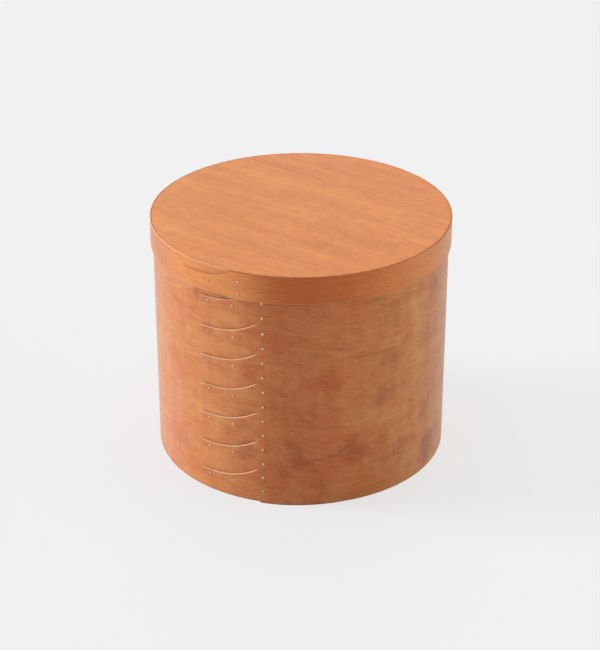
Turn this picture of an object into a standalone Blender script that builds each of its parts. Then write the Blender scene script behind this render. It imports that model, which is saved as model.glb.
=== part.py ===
"""A round swallow-tail box with a lift-off lid, in bent cherry, copper tacks and wooden pegs.

Metres, +Z up. The origin is the centre of the underside, and the lap faces the front, -Y.
Angles round the box start at the front and grow towards +X. A band is drawn flat first: x runs along
its outer face from the finger tips, z is the height, and the strip is then bent into a hoop whose
fingered outer end laps over its own feathered inner end.
"""

import math
import random

import bmesh
import bpy
from mathutils import Vector
from mathutils.geometry import delaunay_2d_cdt

# Box: one band round a board that is let in flush with its lower edge
BOX_DIAMETER = 0.295
BAND_HEIGHT = 0.2437
BAND_THICKNESS = 0.0020
BOTTOM_THICKNESS = 0.006

# Fingers of the box
BOX_TIP_ANGLE = math.radians(-41)
FINGERS = 7
FINGER_LENGTH = 0.062
FINGER_TIP_HEIGHT = 0.0072
FINGER_SWELL = 3.0
FINGER_DROOP = 0.0018
BOTTOM_MARGIN = 0.0045
TOP_MARGIN = 0.0159
END_RUN = 0.003
EDGE_BEVEL = 0.0006

# Lap of the box, behind the finger roots
ROOT_TACK_SETBACK = 0.0066
ROOT_TACK_ABOVE_EDGE = 0.0135
ROOT_TACK_BELOW_LID = 0.0023
LAP_BEHIND_TACKS = 0.0204
FEATHER_LENGTH = 0.047
FEATHER_END = 0.0004
LAP_GAP = 0.0002
LAP_FADE = 0.015
PRESS_LEAD = 0.018
PRESS_FADE = 0.052

# Lid: a thinner band round a board that is let in flush with its upper edge
LID_RIM = 0.028
LID_BAND_THICKNESS = 0.0015
LID_BOARD_THICKNESS = 0.006
LID_CLEARANCE = 0.0004

# The one finger of the lid, and its lap
LID_TIP_ANGLE = math.radians(-48.3)
LID_FINGER_LENGTH = 0.0594
LID_TIP_HEIGHT = 0.0106
LID_FINGER_SWELL = 3.3
LID_FINGER_DROP = 0.0012
LID_ROOT_TACK_SETBACK = 0.007
LID_LAP_BEHIND_TACKS = 0.0056
LID_FEATHER_LENGTH = 0.038
LID_TACK_ABOVE_EDGE = 0.0066
LID_TACK_BELOW_BOARD = 0.0034

# Copper tacks, driven from outside and clinched over on the inside
# The dome's steps are shares of the head's rise and of its radius, from the crown down
TACK_HEAD_DIAMETER = 0.0032
TACK_HEAD_RISE = 0.0004
TACK_HEAD_DOME = ((0.85, 0.6), (0.4, 1.0), (0.0, 0.94))
TACK_SHANK_DIAMETER = 0.0012
TACK_POINT_DIAMETER = 0.0008
TACK_CLINCH_LENGTH = 0.0018
TACK_SEAT = 0.0002
TACK_HOLE_CLEARANCE = 0.00035
TIP_TACK_SETBACK = 0.0105
TACK_SPACING = 0.0279
LID_TIP_TACK_SETBACK = 0.0085
LID_TACK_SPACING = 0.0262
TACK_SCATTER = 0.0004
SCATTER_SEED = 7

# Wooden pegs through the bands into the edges of the boards
PEGS_EACH = 9
PEG_DIAMETER = 0.002
PEG_TAPER = 0.8
PEG_LENGTH = 0.012
PEG_LAP_MARGIN = 0.026

# Fits and facets
FIT_GAP = 0.0003
FACETS = 96
COLUMN_CLEARANCE = 1 / 8
ROUND_SIDES = 8
CURVE_STEPS = 6
LAP_ROWS = 4
SHARP_ANGLE = math.radians(35)
TINY = 1e-6

# Sizes worked out from those above
box_radius = BOX_DIAMETER / 2
lid_inner_radius = box_radius + TACK_SEAT + TACK_HEAD_RISE + LID_CLEARANCE
lid_radius = lid_inner_radius + LID_BAND_THICKNESS
lid_board_bottom = BAND_HEIGHT + FIT_GAP
lid_top = lid_board_bottom + LID_BOARD_THICKNESS
lid_edge = lid_top - LID_RIM
finger_pitch = (BAND_HEIGHT - BOTTOM_MARGIN - TOP_MARGIN) / FINGERS
peg_hole_radius = PEG_DIAMETER / 2 + FIT_GAP
tack_hole_radius = TACK_SHANK_DIAMETER / 2 + TACK_HOLE_CLEARANCE


class Finger:
    """One swallow-tail finger: a narrow straight-cut tip at x = 0 that swells towards its root."""

    def __init__(self, centre, tip_half, root_half, length, swell, droop):
        self.centre_height = centre
        self.tip_half = tip_half
        self.rise = root_half - tip_half
        self.length = length
        self.swell = swell
        self.droop = droop

    def centre(self, x):
        return self.centre_height + self.droop * (x / self.length - 0.5)

    def half(self, x):
        return self.tip_half + self.rise * (x / self.length) ** self.swell

    def reach(self, half):
        """The x at which the finger is this high on one side of its centre."""
        return self.length * ((half - self.tip_half) / self.rise) ** (1 / self.swell)

    def root_slope(self):
        return self.swell * self.rise / self.length

    def edge(self, side, stop):
        """Points of the upper (side 1) or lower (side -1) edge from the tip to x = stop."""
        points = []
        for step in range(CURVE_STEPS + 1):
            x = stop * math.sin(step / CURVE_STEPS * math.pi / 2)
            points.append((x, self.centre(x) + side * self.half(x)))
        return points


class Band:
    """A strip bent into a hoop, its fingered outer end over its own feathered inner end."""

    def __init__(self, radius, thickness, bottom, top, tip_angle, fingers, root_tack, behind, feather):
        self.radius = radius
        self.thickness = thickness
        self.inner_radius = radius - thickness
        self.bottom = bottom
        self.top = top
        self.tip_angle = tip_angle
        self.fingers = fingers
        self.root_tack = root_tack
        self.around = 2 * math.pi * radius
        self.feather = feather
        self.feather_start = root_tack + behind
        self.lap_end = self.feather_start + feather
        self.length = self.around + self.lap_end
        self.let_in = False
        self.holes = []
        self.low_end = 0.0
        self.high_end = 0.0

    def angle(self, x):
        return self.tip_angle + x / self.radius

    def along(self, angle):
        """The x in the first turn that lies at this angle."""
        return (angle - self.tip_angle) % (2 * math.pi) * self.radius

    def thickness_at(self, x):
        past = (x - self.length + self.feather) / self.feather
        return self.thickness + (FEATHER_END - self.thickness) * min(max(past, 0.0), 1.0)

    def lift(self, x):
        """How far the inner end holds the outer end away from the plain circle."""
        if x <= self.lap_end:
            return self.thickness_at(self.around + x) + LAP_GAP
        return (FEATHER_END + LAP_GAP) * max(0.0, 1 - (x - self.lap_end) / LAP_FADE)

    def press(self, x):
        """How far the inner end gives way inwards, x counted from under the finger tips."""
        fade = 1 - (-x - PRESS_LEAD) / PRESS_FADE
        return self.lift(max(x, 0.0)) * min(max(fade, 0.0), 1.0)

    def surface(self, x, z, outer):
        """Radius of the outer or inner face. A band that is let in is flush outside at its top."""
        share = (z - self.bottom) / (self.top - self.bottom) if self.let_in else 0.0
        if x <= self.lap_end + LAP_FADE:
            offset = self.lift(x) * (1 - share)
        else:
            offset = -self.press(x - self.around) * share
        return self.inner_radius + offset + (self.thickness_at(x) if outer else 0.0)

    def place(self, x, z, outer):
        radius = self.surface(x, z, outer)
        angle = self.angle(x)
        return Vector((radius * math.sin(angle), -radius * math.cos(angle), z))

    def outline(self):
        """The flat strip's outline, anticlockwise, with the fingers at its left end."""
        points = [(self.length, self.bottom), (self.length, self.top)]
        if self.high_end > self.fingers[-1].length:
            points.append((self.high_end, self.top))
        for finger in reversed(self.fingers):
            upper = min(self.high_end, finger.length) if finger is self.fingers[-1] else finger.length
            lower = min(self.low_end, finger.length) if finger is self.fingers[0] else finger.length
            points += finger.edge(1, upper)[::-1]
            points += finger.edge(-1, lower)[: None if finger is self.fingers[0] else -1]
        if self.low_end > self.fingers[0].length:
            points.append((self.low_end, self.bottom))
        return points

    def bevel_run(self):
        """How far along the strip the bevel moves a corner at a finger's root."""
        return EDGE_BEVEL / self.fingers[0].root_slope()

    def pared(self, x, z):
        """Where the bevelled edge puts a point of the fingered end's outline on the outer face."""
        along_edge = self.bevel_run()
        if abs(z - self.bottom) < TINY:
            return (x + along_edge * (abs(x - self.low_end) < TINY), z)
        if abs(z - self.top) < TINY:
            return (x + along_edge * (abs(x - self.high_end) < TINY), z)
        if x > self.length / 2:
            return (x, z)
        if x > self.fingers[0].length - TINY:
            return (x + along_edge, z)
        finger = min(self.fingers, key=lambda one: abs(z - one.centre(x)))
        side = math.copysign(1, z - finger.centre(x))
        return (x + EDGE_BEVEL * (x < TINY), z - side * EDGE_BEVEL)

    def columns(self):
        """The x of each line across the strip along which it bends, clear of the bevelled corners."""
        step = self.around / FACETS
        corners = (self.fingers[0].length, self.low_end, self.high_end)
        root = min(corners)
        past_root = max(corners) + 2 * self.bevel_run()
        breaks = [root, past_root, self.feather_start, self.lap_end, self.lap_end + LAP_FADE]
        breaks += [self.around + self.feather_start, self.around]
        breaks += [self.around - PRESS_LEAD, self.around - PRESS_LEAD - PRESS_FADE]
        clear = [0.0, *breaks, self.length]
        apart = step * COLUMN_CLEARANCE
        first = -self.tip_angle * self.radius % step
        kept = list(breaks)
        for k in range(int((self.length - first) / step) + 1):
            x = first + step * k
            if min(abs(x - c) for c in clear) > apart and not root < x < past_root:
                kept.append(x)
        return sorted(kept)


def box_band():
    root_half = finger_pitch / 2
    fingers = []
    for i in range(FINGERS):
        centre = BOTTOM_MARGIN + finger_pitch * (i + 0.5)
        fingers.append(
            Finger(centre, FINGER_TIP_HEIGHT / 2, root_half, FINGER_LENGTH, FINGER_SWELL, FINGER_DROOP)
        )
    root_tack = FINGER_LENGTH + ROOT_TACK_SETBACK
    band = Band(box_radius, BAND_THICKNESS, 0.0, BAND_HEIGHT, BOX_TIP_ANGLE, fingers, root_tack,
                LAP_BEHIND_TACKS, FEATHER_LENGTH)
    band.let_in = True
    band.low_end = FINGER_LENGTH + END_RUN
    band.high_end = FINGER_LENGTH + END_RUN
    return band


def lid_band():
    centre = lid_edge + LID_RIM / 2 - LID_FINGER_DROP
    finger = Finger(centre, LID_TIP_HEIGHT / 2, lid_top - centre, LID_FINGER_LENGTH, LID_FINGER_SWELL, 0.0)
    root_tack = LID_FINGER_LENGTH + LID_ROOT_TACK_SETBACK
    band = Band(lid_radius, LID_BAND_THICKNESS, lid_edge, lid_top, LID_TIP_ANGLE, [finger], root_tack,
                LID_LAP_BEHIND_TACKS, LID_FEATHER_LENGTH)
    band.low_end = finger.reach(centre - lid_edge)
    band.high_end = LID_FINGER_LENGTH
    return band


def ring(centre, radius):
    """A hole's outline in the flat strip."""
    turns = [(k + 0.5) / ROUND_SIDES * 2 * math.pi for k in range(ROUND_SIDES)]
    return [(centre[0] + radius * math.cos(t), centre[1] + radius * math.sin(t)) for t in turns]


def bend(band, name, rows):
    """The band's mesh: the flat strip is cut into columns, given its thickness and bent."""
    points = band.outline()
    faces = [list(range(len(points)))]
    for centre, radius in band.holes:
        faces.append(list(range(len(points), len(points) + ROUND_SIDES)))
        points += ring(centre, radius)
    edges = []
    for x in band.columns():
        edges.append((len(points), len(points) + 1))
        points += [(x, band.bottom), (x, band.top)]
    for row in range(1, rows):
        z = band.bottom + (band.top - band.bottom) * row / rows
        for turn, stop in ((0.0, band.lap_end + LAP_FADE), (band.around, band.lap_end)):
            edges.append((len(points), len(points) + 1))
            points += [(turn + band.feather_start, z), (turn + stop, z)]
    flat = [Vector(p) for p in points]
    corners, _, triangles, _, _, owners = delaunay_2d_cdt(flat, edges, faces, 0, TINY)
    kept = [triangle for triangle, owner in zip(triangles, owners) if list(owner) == [0]]
    open_edges = {}
    for triangle in kept:
        for a, b in zip(triangle, triangle[1:] + triangle[:1]):
            if (b, a) in open_edges:
                del open_edges[(b, a)]
            else:
                open_edges[(a, b)] = True
    on_rim = {corner for edge in open_edges for corner in edge}
    near = [(Vector(centre), radius + TINY) for centre, radius in band.holes]
    work = bmesh.new()
    inner, outer = {}, {}
    for corner in {c for triangle in kept for c in triangle}:
        x, z = corners[corner]
        inner[corner] = work.verts.new(band.place(x, z, False))
        in_hole = any((corners[corner] - centre).length < radius for centre, radius in near)
        if corner in on_rim and not in_hole:
            x, z = band.pared(x, z)
        outer[corner] = work.verts.new(band.place(x, z, True))
    for a, b, c in kept:
        work.faces.new((outer[a], outer[b], outer[c]))
        work.faces.new((inner[c], inner[b], inner[a]))
    for a, b in open_edges:
        work.faces.new((outer[b], outer[a], inner[a], inner[b]))
    return finish(work, name)


def finish(work, name):
    """Turns the working mesh into a closed, outward-facing, smooth-shaded mesh."""
    bmesh.ops.triangulate(work, faces=work.faces[:])
    bmesh.ops.recalc_face_normals(work, faces=work.faces[:])
    mesh = bpy.data.meshes.new(name)
    work.to_mesh(mesh)
    work.free()
    mesh.shade_smooth()
    mesh.set_sharp_from_angle(angle=SHARP_ANGLE)
    return mesh


def loft(work, rings, close_start, close_end):
    """Joins rings of points with faces, and closes the ends with a fan to one point."""
    loops = [[work.verts.new(p) for p in points] for points in rings]
    for first, second in zip(loops, loops[1:]):
        for k in range(ROUND_SIDES):
            after = (k + 1) % ROUND_SIDES
            work.faces.new((first[k], first[after], second[after], second[k]))
    for loop, point in ((loops[0], close_start), (loops[-1], close_end)):
        pole = work.verts.new(point)
        for k in range(ROUND_SIDES):
            work.faces.new((loop[k], loop[(k + 1) % ROUND_SIDES], pole))


def tack_mesh(name, stack, towards):
    """A tack through this thickness of wood, local -Y outwards, its point bent along towards * X."""
    head = TACK_HEAD_DIAMETER / 2
    shank = TACK_SHANK_DIAMETER / 2
    point = TACK_POINT_DIAMETER / 2
    bend_radius = shank
    lying = stack + TACK_SEAT + point
    stations = [(TACK_SEAT + TACK_HEAD_RISE * up, 0.0, head * wide, 0.0) for up, wide in TACK_HEAD_DOME]
    stations.append((TACK_SEAT, 0.0, shank, 0.0))
    for share in (0.0, 0.5, 1.0):
        turn = share * math.pi / 2
        out = -lying + bend_radius * (1 - math.sin(turn))
        side = bend_radius * (1 - math.cos(turn))
        stations.append((out, side, point, turn))
    rings = []
    for out, side, radius, turn in stations:
        centre = Vector((towards * side, -out, 0.0))
        across = Vector((towards * math.cos(turn), -math.sin(turn), 0.0))
        points = []
        for k in range(ROUND_SIDES):
            a = (k + 0.5) / ROUND_SIDES * 2 * math.pi
            points.append(centre + across * radius * math.cos(a) + Vector((0, 0, radius * math.sin(a))))
        rings.append(points)
    work = bmesh.new()
    crown = Vector((0, -(TACK_SEAT + TACK_HEAD_RISE), 0))
    tip = Vector((towards * (bend_radius + TACK_CLINCH_LENGTH), lying, 0))
    loft(work, rings, crown, tip)
    return finish(work, name)


def peg_mesh(name):
    """A tapered round peg, local -Y outwards, its thick end flush with the band."""
    rings = []
    for depth, radius in ((0.0, PEG_DIAMETER / 2), (PEG_LENGTH, PEG_DIAMETER / 2 * PEG_TAPER)):
        rings.append([Vector((x, depth, z)) for x, z in ring((0.0, 0.0), radius)])
    work = bmesh.new()
    loft(work, rings, Vector((0, 0, 0)), Vector((0, PEG_LENGTH, 0)))
    return finish(work, name)


def material(name, colour, roughness, metallic=0.0):
    made = bpy.data.materials.new(name)
    made.use_nodes = True
    made.diffuse_color = (*colour, 1.0)
    shader = next(n for n in made.node_tree.nodes if n.type == "BSDF_PRINCIPLED")
    shader.inputs["Base Color"].default_value = (*colour, 1.0)
    shader.inputs["Roughness"].default_value = roughness
    shader.inputs["Metallic"].default_value = metallic
    return made


def add(name, mesh, look, parent=None, location=(0, 0, 0), turn=0.0):
    """Puts a mesh in the scene as a named sub-part, at a place given in the object's own frame."""
    if not mesh.materials:
        mesh.materials.append(look)
    piece = bpy.data.objects.new(name, mesh)
    bpy.context.scene.collection.objects.link(piece)
    piece.rotation_euler = (0, 0, turn)
    piece.parent = parent
    piece.location = Vector(location) - (parent.location if parent else Vector((0, 0, 0)))
    return piece


def board(name, look, radius, bottom, thickness, peg_turns, peg_face, parent):
    """A round board with blind holes in its edge for the pegs."""
    work = bmesh.new()
    bmesh.ops.create_cone(
        work, cap_ends=True, segments=FACETS, radius1=radius, radius2=radius, depth=thickness
    )
    middle = (0, 0, bottom + thickness / 2)
    piece = add(name, finish(work, name), look, parent, middle)
    drill = bmesh.new()
    depth = PEG_LENGTH + FIT_GAP
    for turn in peg_turns:
        rings = []
        for back in (-FIT_GAP, depth):
            out = Vector((math.sin(turn), -math.cos(turn), 0)) * (peg_face - back)
            across = Vector((math.cos(turn), math.sin(turn), 0))
            hole = ring((0.0, 0.0), peg_hole_radius)
            rings.append([out + across * x + Vector((0, 0, z)) for x, z in hole])
        starts = sum(rings[0], Vector()) / ROUND_SIDES
        ends = sum(rings[1], Vector()) / ROUND_SIDES
        loft(drill, rings, starts, ends)
    cutter = add(name + "_drill", finish(drill, name + "_drill"), look, parent, middle)
    cutter.hide_render = True
    cutter.display_type = "WIRE"
    holes = piece.modifiers.new("peg holes", "BOOLEAN")
    holes.operation = "DIFFERENCE"
    holes.solver = "EXACT"
    holes.object = cutter
    return piece


def peg_angles(band):
    """Even steps round the part of the hoop that the lap leaves free."""
    start = band.angle(band.lap_end + PEG_LAP_MARGIN)
    stop = band.angle(band.around - PEG_LAP_MARGIN)
    return [start + (stop - start) * k / (PEGS_EACH - 1) for k in range(PEGS_EACH)]


def drive_tacks(band, spots, mesh, look, parent):
    """Drills the lap at each named spot, through both layers, and puts a tack there."""
    for name, x, z in spots:
        band.holes.append(((x, z), tack_hole_radius))
        band.holes.append(((x + band.around, z), tack_hole_radius))
        angle = band.angle(x)
        radius = band.surface(x, z, True)
        place = (radius * math.sin(angle), -radius * math.cos(angle), z)
        add(name, mesh, look, parent, place, angle)


def drive_pegs(band, prefix, height, mesh, look, parent):
    for number, angle in enumerate(peg_angles(band), 1):
        band.holes.append(((band.along(angle), height), peg_hole_radius))
        place = (band.radius * math.sin(angle), -band.radius * math.cos(angle), height)
        add(f"{prefix}_{number}", mesh, look, parent, place, angle)


def box_spots(band):
    """Two tacks along each finger, and an upright column at the roots with one more under the lid."""
    hand = random.Random(SCATTER_SEED)
    spots = []
    for number, finger in enumerate(band.fingers, 1):
        along = {"tip": TIP_TACK_SETBACK, "mid": TIP_TACK_SETBACK + TACK_SPACING}
        for kind, x in along.items():
            spots.append((f"tack_{kind}_{number}", x, finger.centre(x)))
    shown = 2 * FINGERS
    spacing = (lid_edge - ROOT_TACK_BELOW_LID - ROOT_TACK_ABOVE_EDGE) / (shown - 1)
    for number in range(shown + 1):
        spots.append((f"tack_root_{number + 1}", band.root_tack, ROOT_TACK_ABOVE_EDGE + spacing * number))
    scattered = []
    for name, x, z in spots:
        aside = hand.uniform(-TACK_SCATTER, TACK_SCATTER)
        above = hand.uniform(-TACK_SCATTER, TACK_SCATTER)
        scattered.append((name, x + aside, z + above))
    return scattered


def lid_spots(band):
    centre = band.fingers[0].centre(0.0)
    low = lid_edge + LID_TACK_ABOVE_EDGE
    high = lid_board_bottom - LID_TACK_BELOW_BOARD
    return [
        ("tack_lid_tip", LID_TIP_TACK_SETBACK, centre),
        ("tack_lid_mid", LID_TIP_TACK_SETBACK + LID_TACK_SPACING, centre),
        ("tack_lid_root_1", band.root_tack, low),
        ("tack_lid_root_2", band.root_tack, high),
    ]


for leftover in list(bpy.data.objects):
    bpy.data.objects.remove(leftover, do_unlink=True)

cherry_wall = material("cherry, box band", (0.46, 0.165, 0.055), 0.5)
cherry_floor = material("cherry, bottom board", (0.47, 0.18, 0.065), 0.6)
cherry_rim = material("cherry, lid band", (0.50, 0.175, 0.06), 0.5)
cherry_top = material("cherry, lid board", (0.52, 0.18, 0.07), 0.45)
end_grain = material("cherry pegs", (0.36, 0.12, 0.04), 0.6)
copper = material("copper tacks", (0.80, 0.45, 0.33), 0.35, 1.0)

lift = bpy.data.objects.new("lid_lift", None)
lift.location = (0, 0, lid_edge)
bpy.context.scene.collection.objects.link(lift)

box = box_band()
lid = lid_band()
box_stack = 2 * BAND_THICKNESS + LAP_GAP
lid_stack = 2 * LID_BAND_THICKNESS + LAP_GAP
peg = peg_mesh("peg")

drive_tacks(box, box_spots(box), tack_mesh("tack", box_stack, 1), copper, None)
drive_pegs(box, "peg_box", BOTTOM_THICKNESS / 2, peg, end_grain, None)
add("box_band", bend(box, "box_band", LAP_ROWS), cherry_wall)
board("box_bottom", cherry_floor, box.inner_radius - FIT_GAP, 0.0, BOTTOM_THICKNESS,
      peg_angles(box), box.radius, None)

drive_tacks(lid, lid_spots(lid), tack_mesh("lid_tack", lid_stack, -1), copper, lift)
drive_pegs(lid, "peg_lid", lid_top - LID_BOARD_THICKNESS / 2, peg, end_grain, lift)
add("lid_band", bend(lid, "lid_band", 1), cherry_rim, lift)
board("lid_board", cherry_top, lid.inner_radius - FIT_GAP, lid_board_bottom, LID_BOARD_THICKNESS,
      peg_angles(lid), lid.radius, lift)
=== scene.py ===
# %% [markdown]
# # A round swallow-tail box in cherry
#
# The box is two strips of thin cherry bent into hoops, each closed by a fingered lap with copper tacks,
# round two boards that wooden pegs hold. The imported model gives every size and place. This lesson puts
# the finished surfaces on it: edges softened by hand, grain that follows the bent strips, hammered tacks.

import math
from dataclasses import dataclass

import bmesh
import bpy
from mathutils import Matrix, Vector
from mathutils.geometry import delaunay_2d_cdt


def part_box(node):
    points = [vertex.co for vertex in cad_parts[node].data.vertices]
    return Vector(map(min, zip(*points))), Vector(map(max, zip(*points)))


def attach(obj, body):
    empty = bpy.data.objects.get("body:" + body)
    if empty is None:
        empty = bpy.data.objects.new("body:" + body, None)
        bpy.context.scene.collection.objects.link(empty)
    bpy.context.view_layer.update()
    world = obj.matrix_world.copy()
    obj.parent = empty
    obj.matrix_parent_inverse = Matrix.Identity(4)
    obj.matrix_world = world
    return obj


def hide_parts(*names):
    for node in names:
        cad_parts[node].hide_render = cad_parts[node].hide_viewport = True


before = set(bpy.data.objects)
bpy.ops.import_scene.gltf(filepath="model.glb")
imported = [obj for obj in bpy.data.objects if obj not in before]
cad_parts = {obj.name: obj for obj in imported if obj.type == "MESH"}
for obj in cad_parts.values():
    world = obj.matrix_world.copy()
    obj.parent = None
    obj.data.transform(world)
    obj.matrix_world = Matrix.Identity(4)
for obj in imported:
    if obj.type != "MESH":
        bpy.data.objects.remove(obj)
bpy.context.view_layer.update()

# %% [markdown]
# ## Sizes that the frame gives
#
# A hoop's plain radius shows at its +X side, away from the lap. The heights come from the same boxes, so
# nothing here has to be fitted by eye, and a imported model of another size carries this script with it.

# %% Sizes from the frame
box_low, box_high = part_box("box_band")
lid_low, lid_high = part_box("lid_band")
bottom_low, bottom_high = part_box("box_bottom")
panel_low, panel_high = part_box("lid_board")
print("box radius", round(box_high.x, 5), "lid radius", round(lid_high.x, 5), "lid edge", round(lid_low.z, 5))

# %% [markdown]
# ## Wires that add up
#
# A shader is easier to read as a sum than as a drawing. A wire wraps one output of a node, and each
# arithmetic sign on it adds a Math node, or a Vector Math node where a vector takes part. The same class
# serves the Geometry Nodes trees. Every other node comes from one method, which takes the node's type,
# its settings and the values or wires of its sockets.


# %% The wire and the tree
class Wire:
    """One output of a node, with the arithmetic signs as nodes behind it."""

    def __init__(self, tree, socket):
        self.tree = tree
        self.socket = socket

    def __add__(self, other):
        return self.tree.maths("ADD", self, other)

    def __sub__(self, other):
        return self.tree.maths("SUBTRACT", self, other)

    def __rsub__(self, other):
        return self.tree.maths("SUBTRACT", other, self)

    def __mul__(self, other):
        return self.tree.maths("MULTIPLY", self, other)

    def __truediv__(self, other):
        return self.tree.maths("DIVIDE", self, other)

    def __pow__(self, other):
        return self.tree.maths("POWER", self, other)

    def __neg__(self):
        return self * -1

    __radd__ = __add__
    __rmul__ = __mul__

    def clip(self):
        """The value held between 0 and 1."""
        return self.apply("MINIMUM", 1.0).clip_low()

    def clip_low(self):
        return self.apply("MAXIMUM", 0.0)

    def apply(self, operation, *others):
        return self.tree.maths(operation, self, *others)

    def parts(self):
        """The X, Y and Z of a vector."""
        split = self.tree.node("ShaderNodeSeparateXYZ", {"Vector": self})
        return [Wire(self.tree, output) for output in split.socket.node.outputs]


# A Mix node has sockets for every kind of value. These are its share, its two colours and its result.
MIX_SHARE, MIX_FIRST, MIX_SECOND, MIX_RESULT = 0, 6, 7, 2


class Tree:
    """A node tree, written as Python expressions."""

    def __init__(self, graph):
        self.graph = graph
        graph.nodes.clear()

    def node(self, kind, sockets=None, output=0, **settings):
        """Adds a node: settings first, then the values or wires of its sockets. Gives one output."""
        made = self.graph.nodes.new(kind)
        for name, value in settings.items():
            setattr(made, name, value)
        for name, value in (sockets or {}).items():
            if isinstance(value, Wire):
                self.graph.links.new(value.socket, made.inputs[name])
            else:
                made.inputs[name].default_value = value
        return Wire(self, made.outputs[output]) if made.outputs else made

    def maths(self, operation, *terms):
        """A Math node, or a Vector Math node where a term is a vector."""
        wires = [term for term in terms if isinstance(term, Wire)]
        vector = any(wire.socket.type == "VECTOR" for wire in wires)
        vector = vector or any(isinstance(term, tuple) for term in terms)
        if vector:
            terms = [(term,) * 3 if isinstance(term, (int, float)) else term for term in terms]
        kind = "ShaderNodeVectorMath" if vector else "ShaderNodeMath"
        return self.node(kind, dict(enumerate(terms)), operation=operation)

    def vector(self, x=0.0, y=0.0, z=0.0):
        return self.node("ShaderNodeCombineXYZ", {"X": x, "Y": y, "Z": z})

    def mix(self, share, first, second, blend="MIX"):
        """Two colours mixed by a share."""
        first, second = ((*c, 1.0) if isinstance(c, tuple) else c for c in (first, second))
        sockets = {MIX_SHARE: share, MIX_FIRST: first, MIX_SECOND: second}
        return self.node("ShaderNodeMix", sockets, MIX_RESULT, data_type="RGBA", blend_type=blend)

    def noise(self, place, detail=2.0, roughness=0.5, distortion=0.0):
        """Smooth noise from 0 to 1 at a place that is already scaled."""
        sockets = {"Vector": place, "Scale": 1.0, "Detail": detail, "Roughness": roughness}
        return self.node("ShaderNodeTexNoise", sockets | {"Distortion": distortion})


print("wires and trees are ready")

# %% [markdown]
# ## The grain of cherry
#
# Cherry is a quiet wood. Close up it has fine lines along the grain and darker pores; over a hand's width
# it has thin dark ring lines that wander together, and smoky clouds where the figure catches the light.
# One recipe serves every piece. It reads a place in metres whose X runs along the grain, Y across it and Z
# into the wood, so the bent strips carry their own flat coordinates and the boards use their own plane.

# %% Cherry, as one recipe
CHERRY_PALE = (0.765, 0.292, 0.080)
CHERRY_RED = (0.600, 0.132, 0.020)
CHERRY_RING = (0.27, 0.057, 0.009)
CHERRY_SMOKE = (0.66, 0.50, 0.62)
# Pale cut wood; on lit edges it is also a painted highlight.
PALE_CUT_AND_HIGHLIGHT = (1.0, 0.72, 0.40)
# Painted sheen: the colour that greys the sides of the box where they turn away.
SIDE_SHEEN_TINT = (0.88, 0.97, 1.0)


class Cherry:
    """The layers of the grain at a place, as wires."""

    def __init__(self, tree, place, seed=0.0):
        self.tree = tree
        self.place = place + (seed, seed, seed)
        self.across = place.parts()[1]

    def layer(self, along, across, deep, detail=2.0, roughness=0.5, distortion=0.0):
        """Noise from -1 to 1, roughly, with so many waves to the metre each way."""
        waves = self.tree.noise(self.place * (along, across, deep), detail, roughness, distortion)
        return (waves - 0.5) * 2.0

    def bands(self):
        """Broad soft bands along the grain."""
        return self.layer(3.0, 55.0, 40.0, 3.0, 0.55, 0.4)

    def streaks(self):
        """Streaks a few millimetres across."""
        return self.layer(14.0, 330.0, 200.0, 3.0, 0.6, 0.3)

    def fibres(self):
        """Fine short fibres."""
        return self.layer(75.0, 1250.0, 900.0, 3.0, 0.65)

    def pores(self):
        """Short dark pores, sparse and a little longer than wide."""
        return (self.layer(420.0, 4200.0, 900.0) * 3.0 - 0.7).clip()

    def clouds(self):
        """Soft clouds, some centimetres across."""
        return self.layer(24.0, 34.0, 30.0, 3.0, 0.55, 0.6)

    def mottle(self):
        """Blotches about a centimetre across, barely longer than wide."""
        return self.layer(62.0, 105.0, 60.0, 3.0, 0.55, 0.5)

    def curl(self):
        """Faint bars across the grain, where the fibres lean."""
        return self.layer(85.0, 9.0, 20.0, 2.0, 0.5, 0.4)

    def tremble(self):
        """How far a ring line strays, in metres."""
        return self.layer(22.0, 30.0, 20.0) * 0.0018 + self.layer(150.0, 180.0, 90.0) * 0.0015

    def rings(self, spacing, wander):
        """Thin ring lines: each fades in slowly and ends at a sharp edge."""
        drift = self.layer(7.0, 22.0, 10.0)
        phase = (self.across + self.tremble() * 0.5) / spacing + drift * wander
        strength = (self.layer(12.0, 60.0, 30.0, 1.0) * 1.6 + 0.4).clip()
        return phase.apply("FRACT") ** 14.0 * strength


print("cherry from", CHERRY_PALE, "to", CHERRY_RED)

# %% [markdown]
# ## One tree reader and one way to finish a tree
#
# A Geometry Nodes modifier is kept only while it works: its inputs are set by identifier, the evaluated
# mesh is copied out as plain faces, and the modifier goes. What is left is an ordinary mesh that sits at
# the origin with its place in its vertices.

# %% Geometry trees
SOCKET_KINDS = {float: "NodeSocketFloat", int: "NodeSocketInt"}


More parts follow.
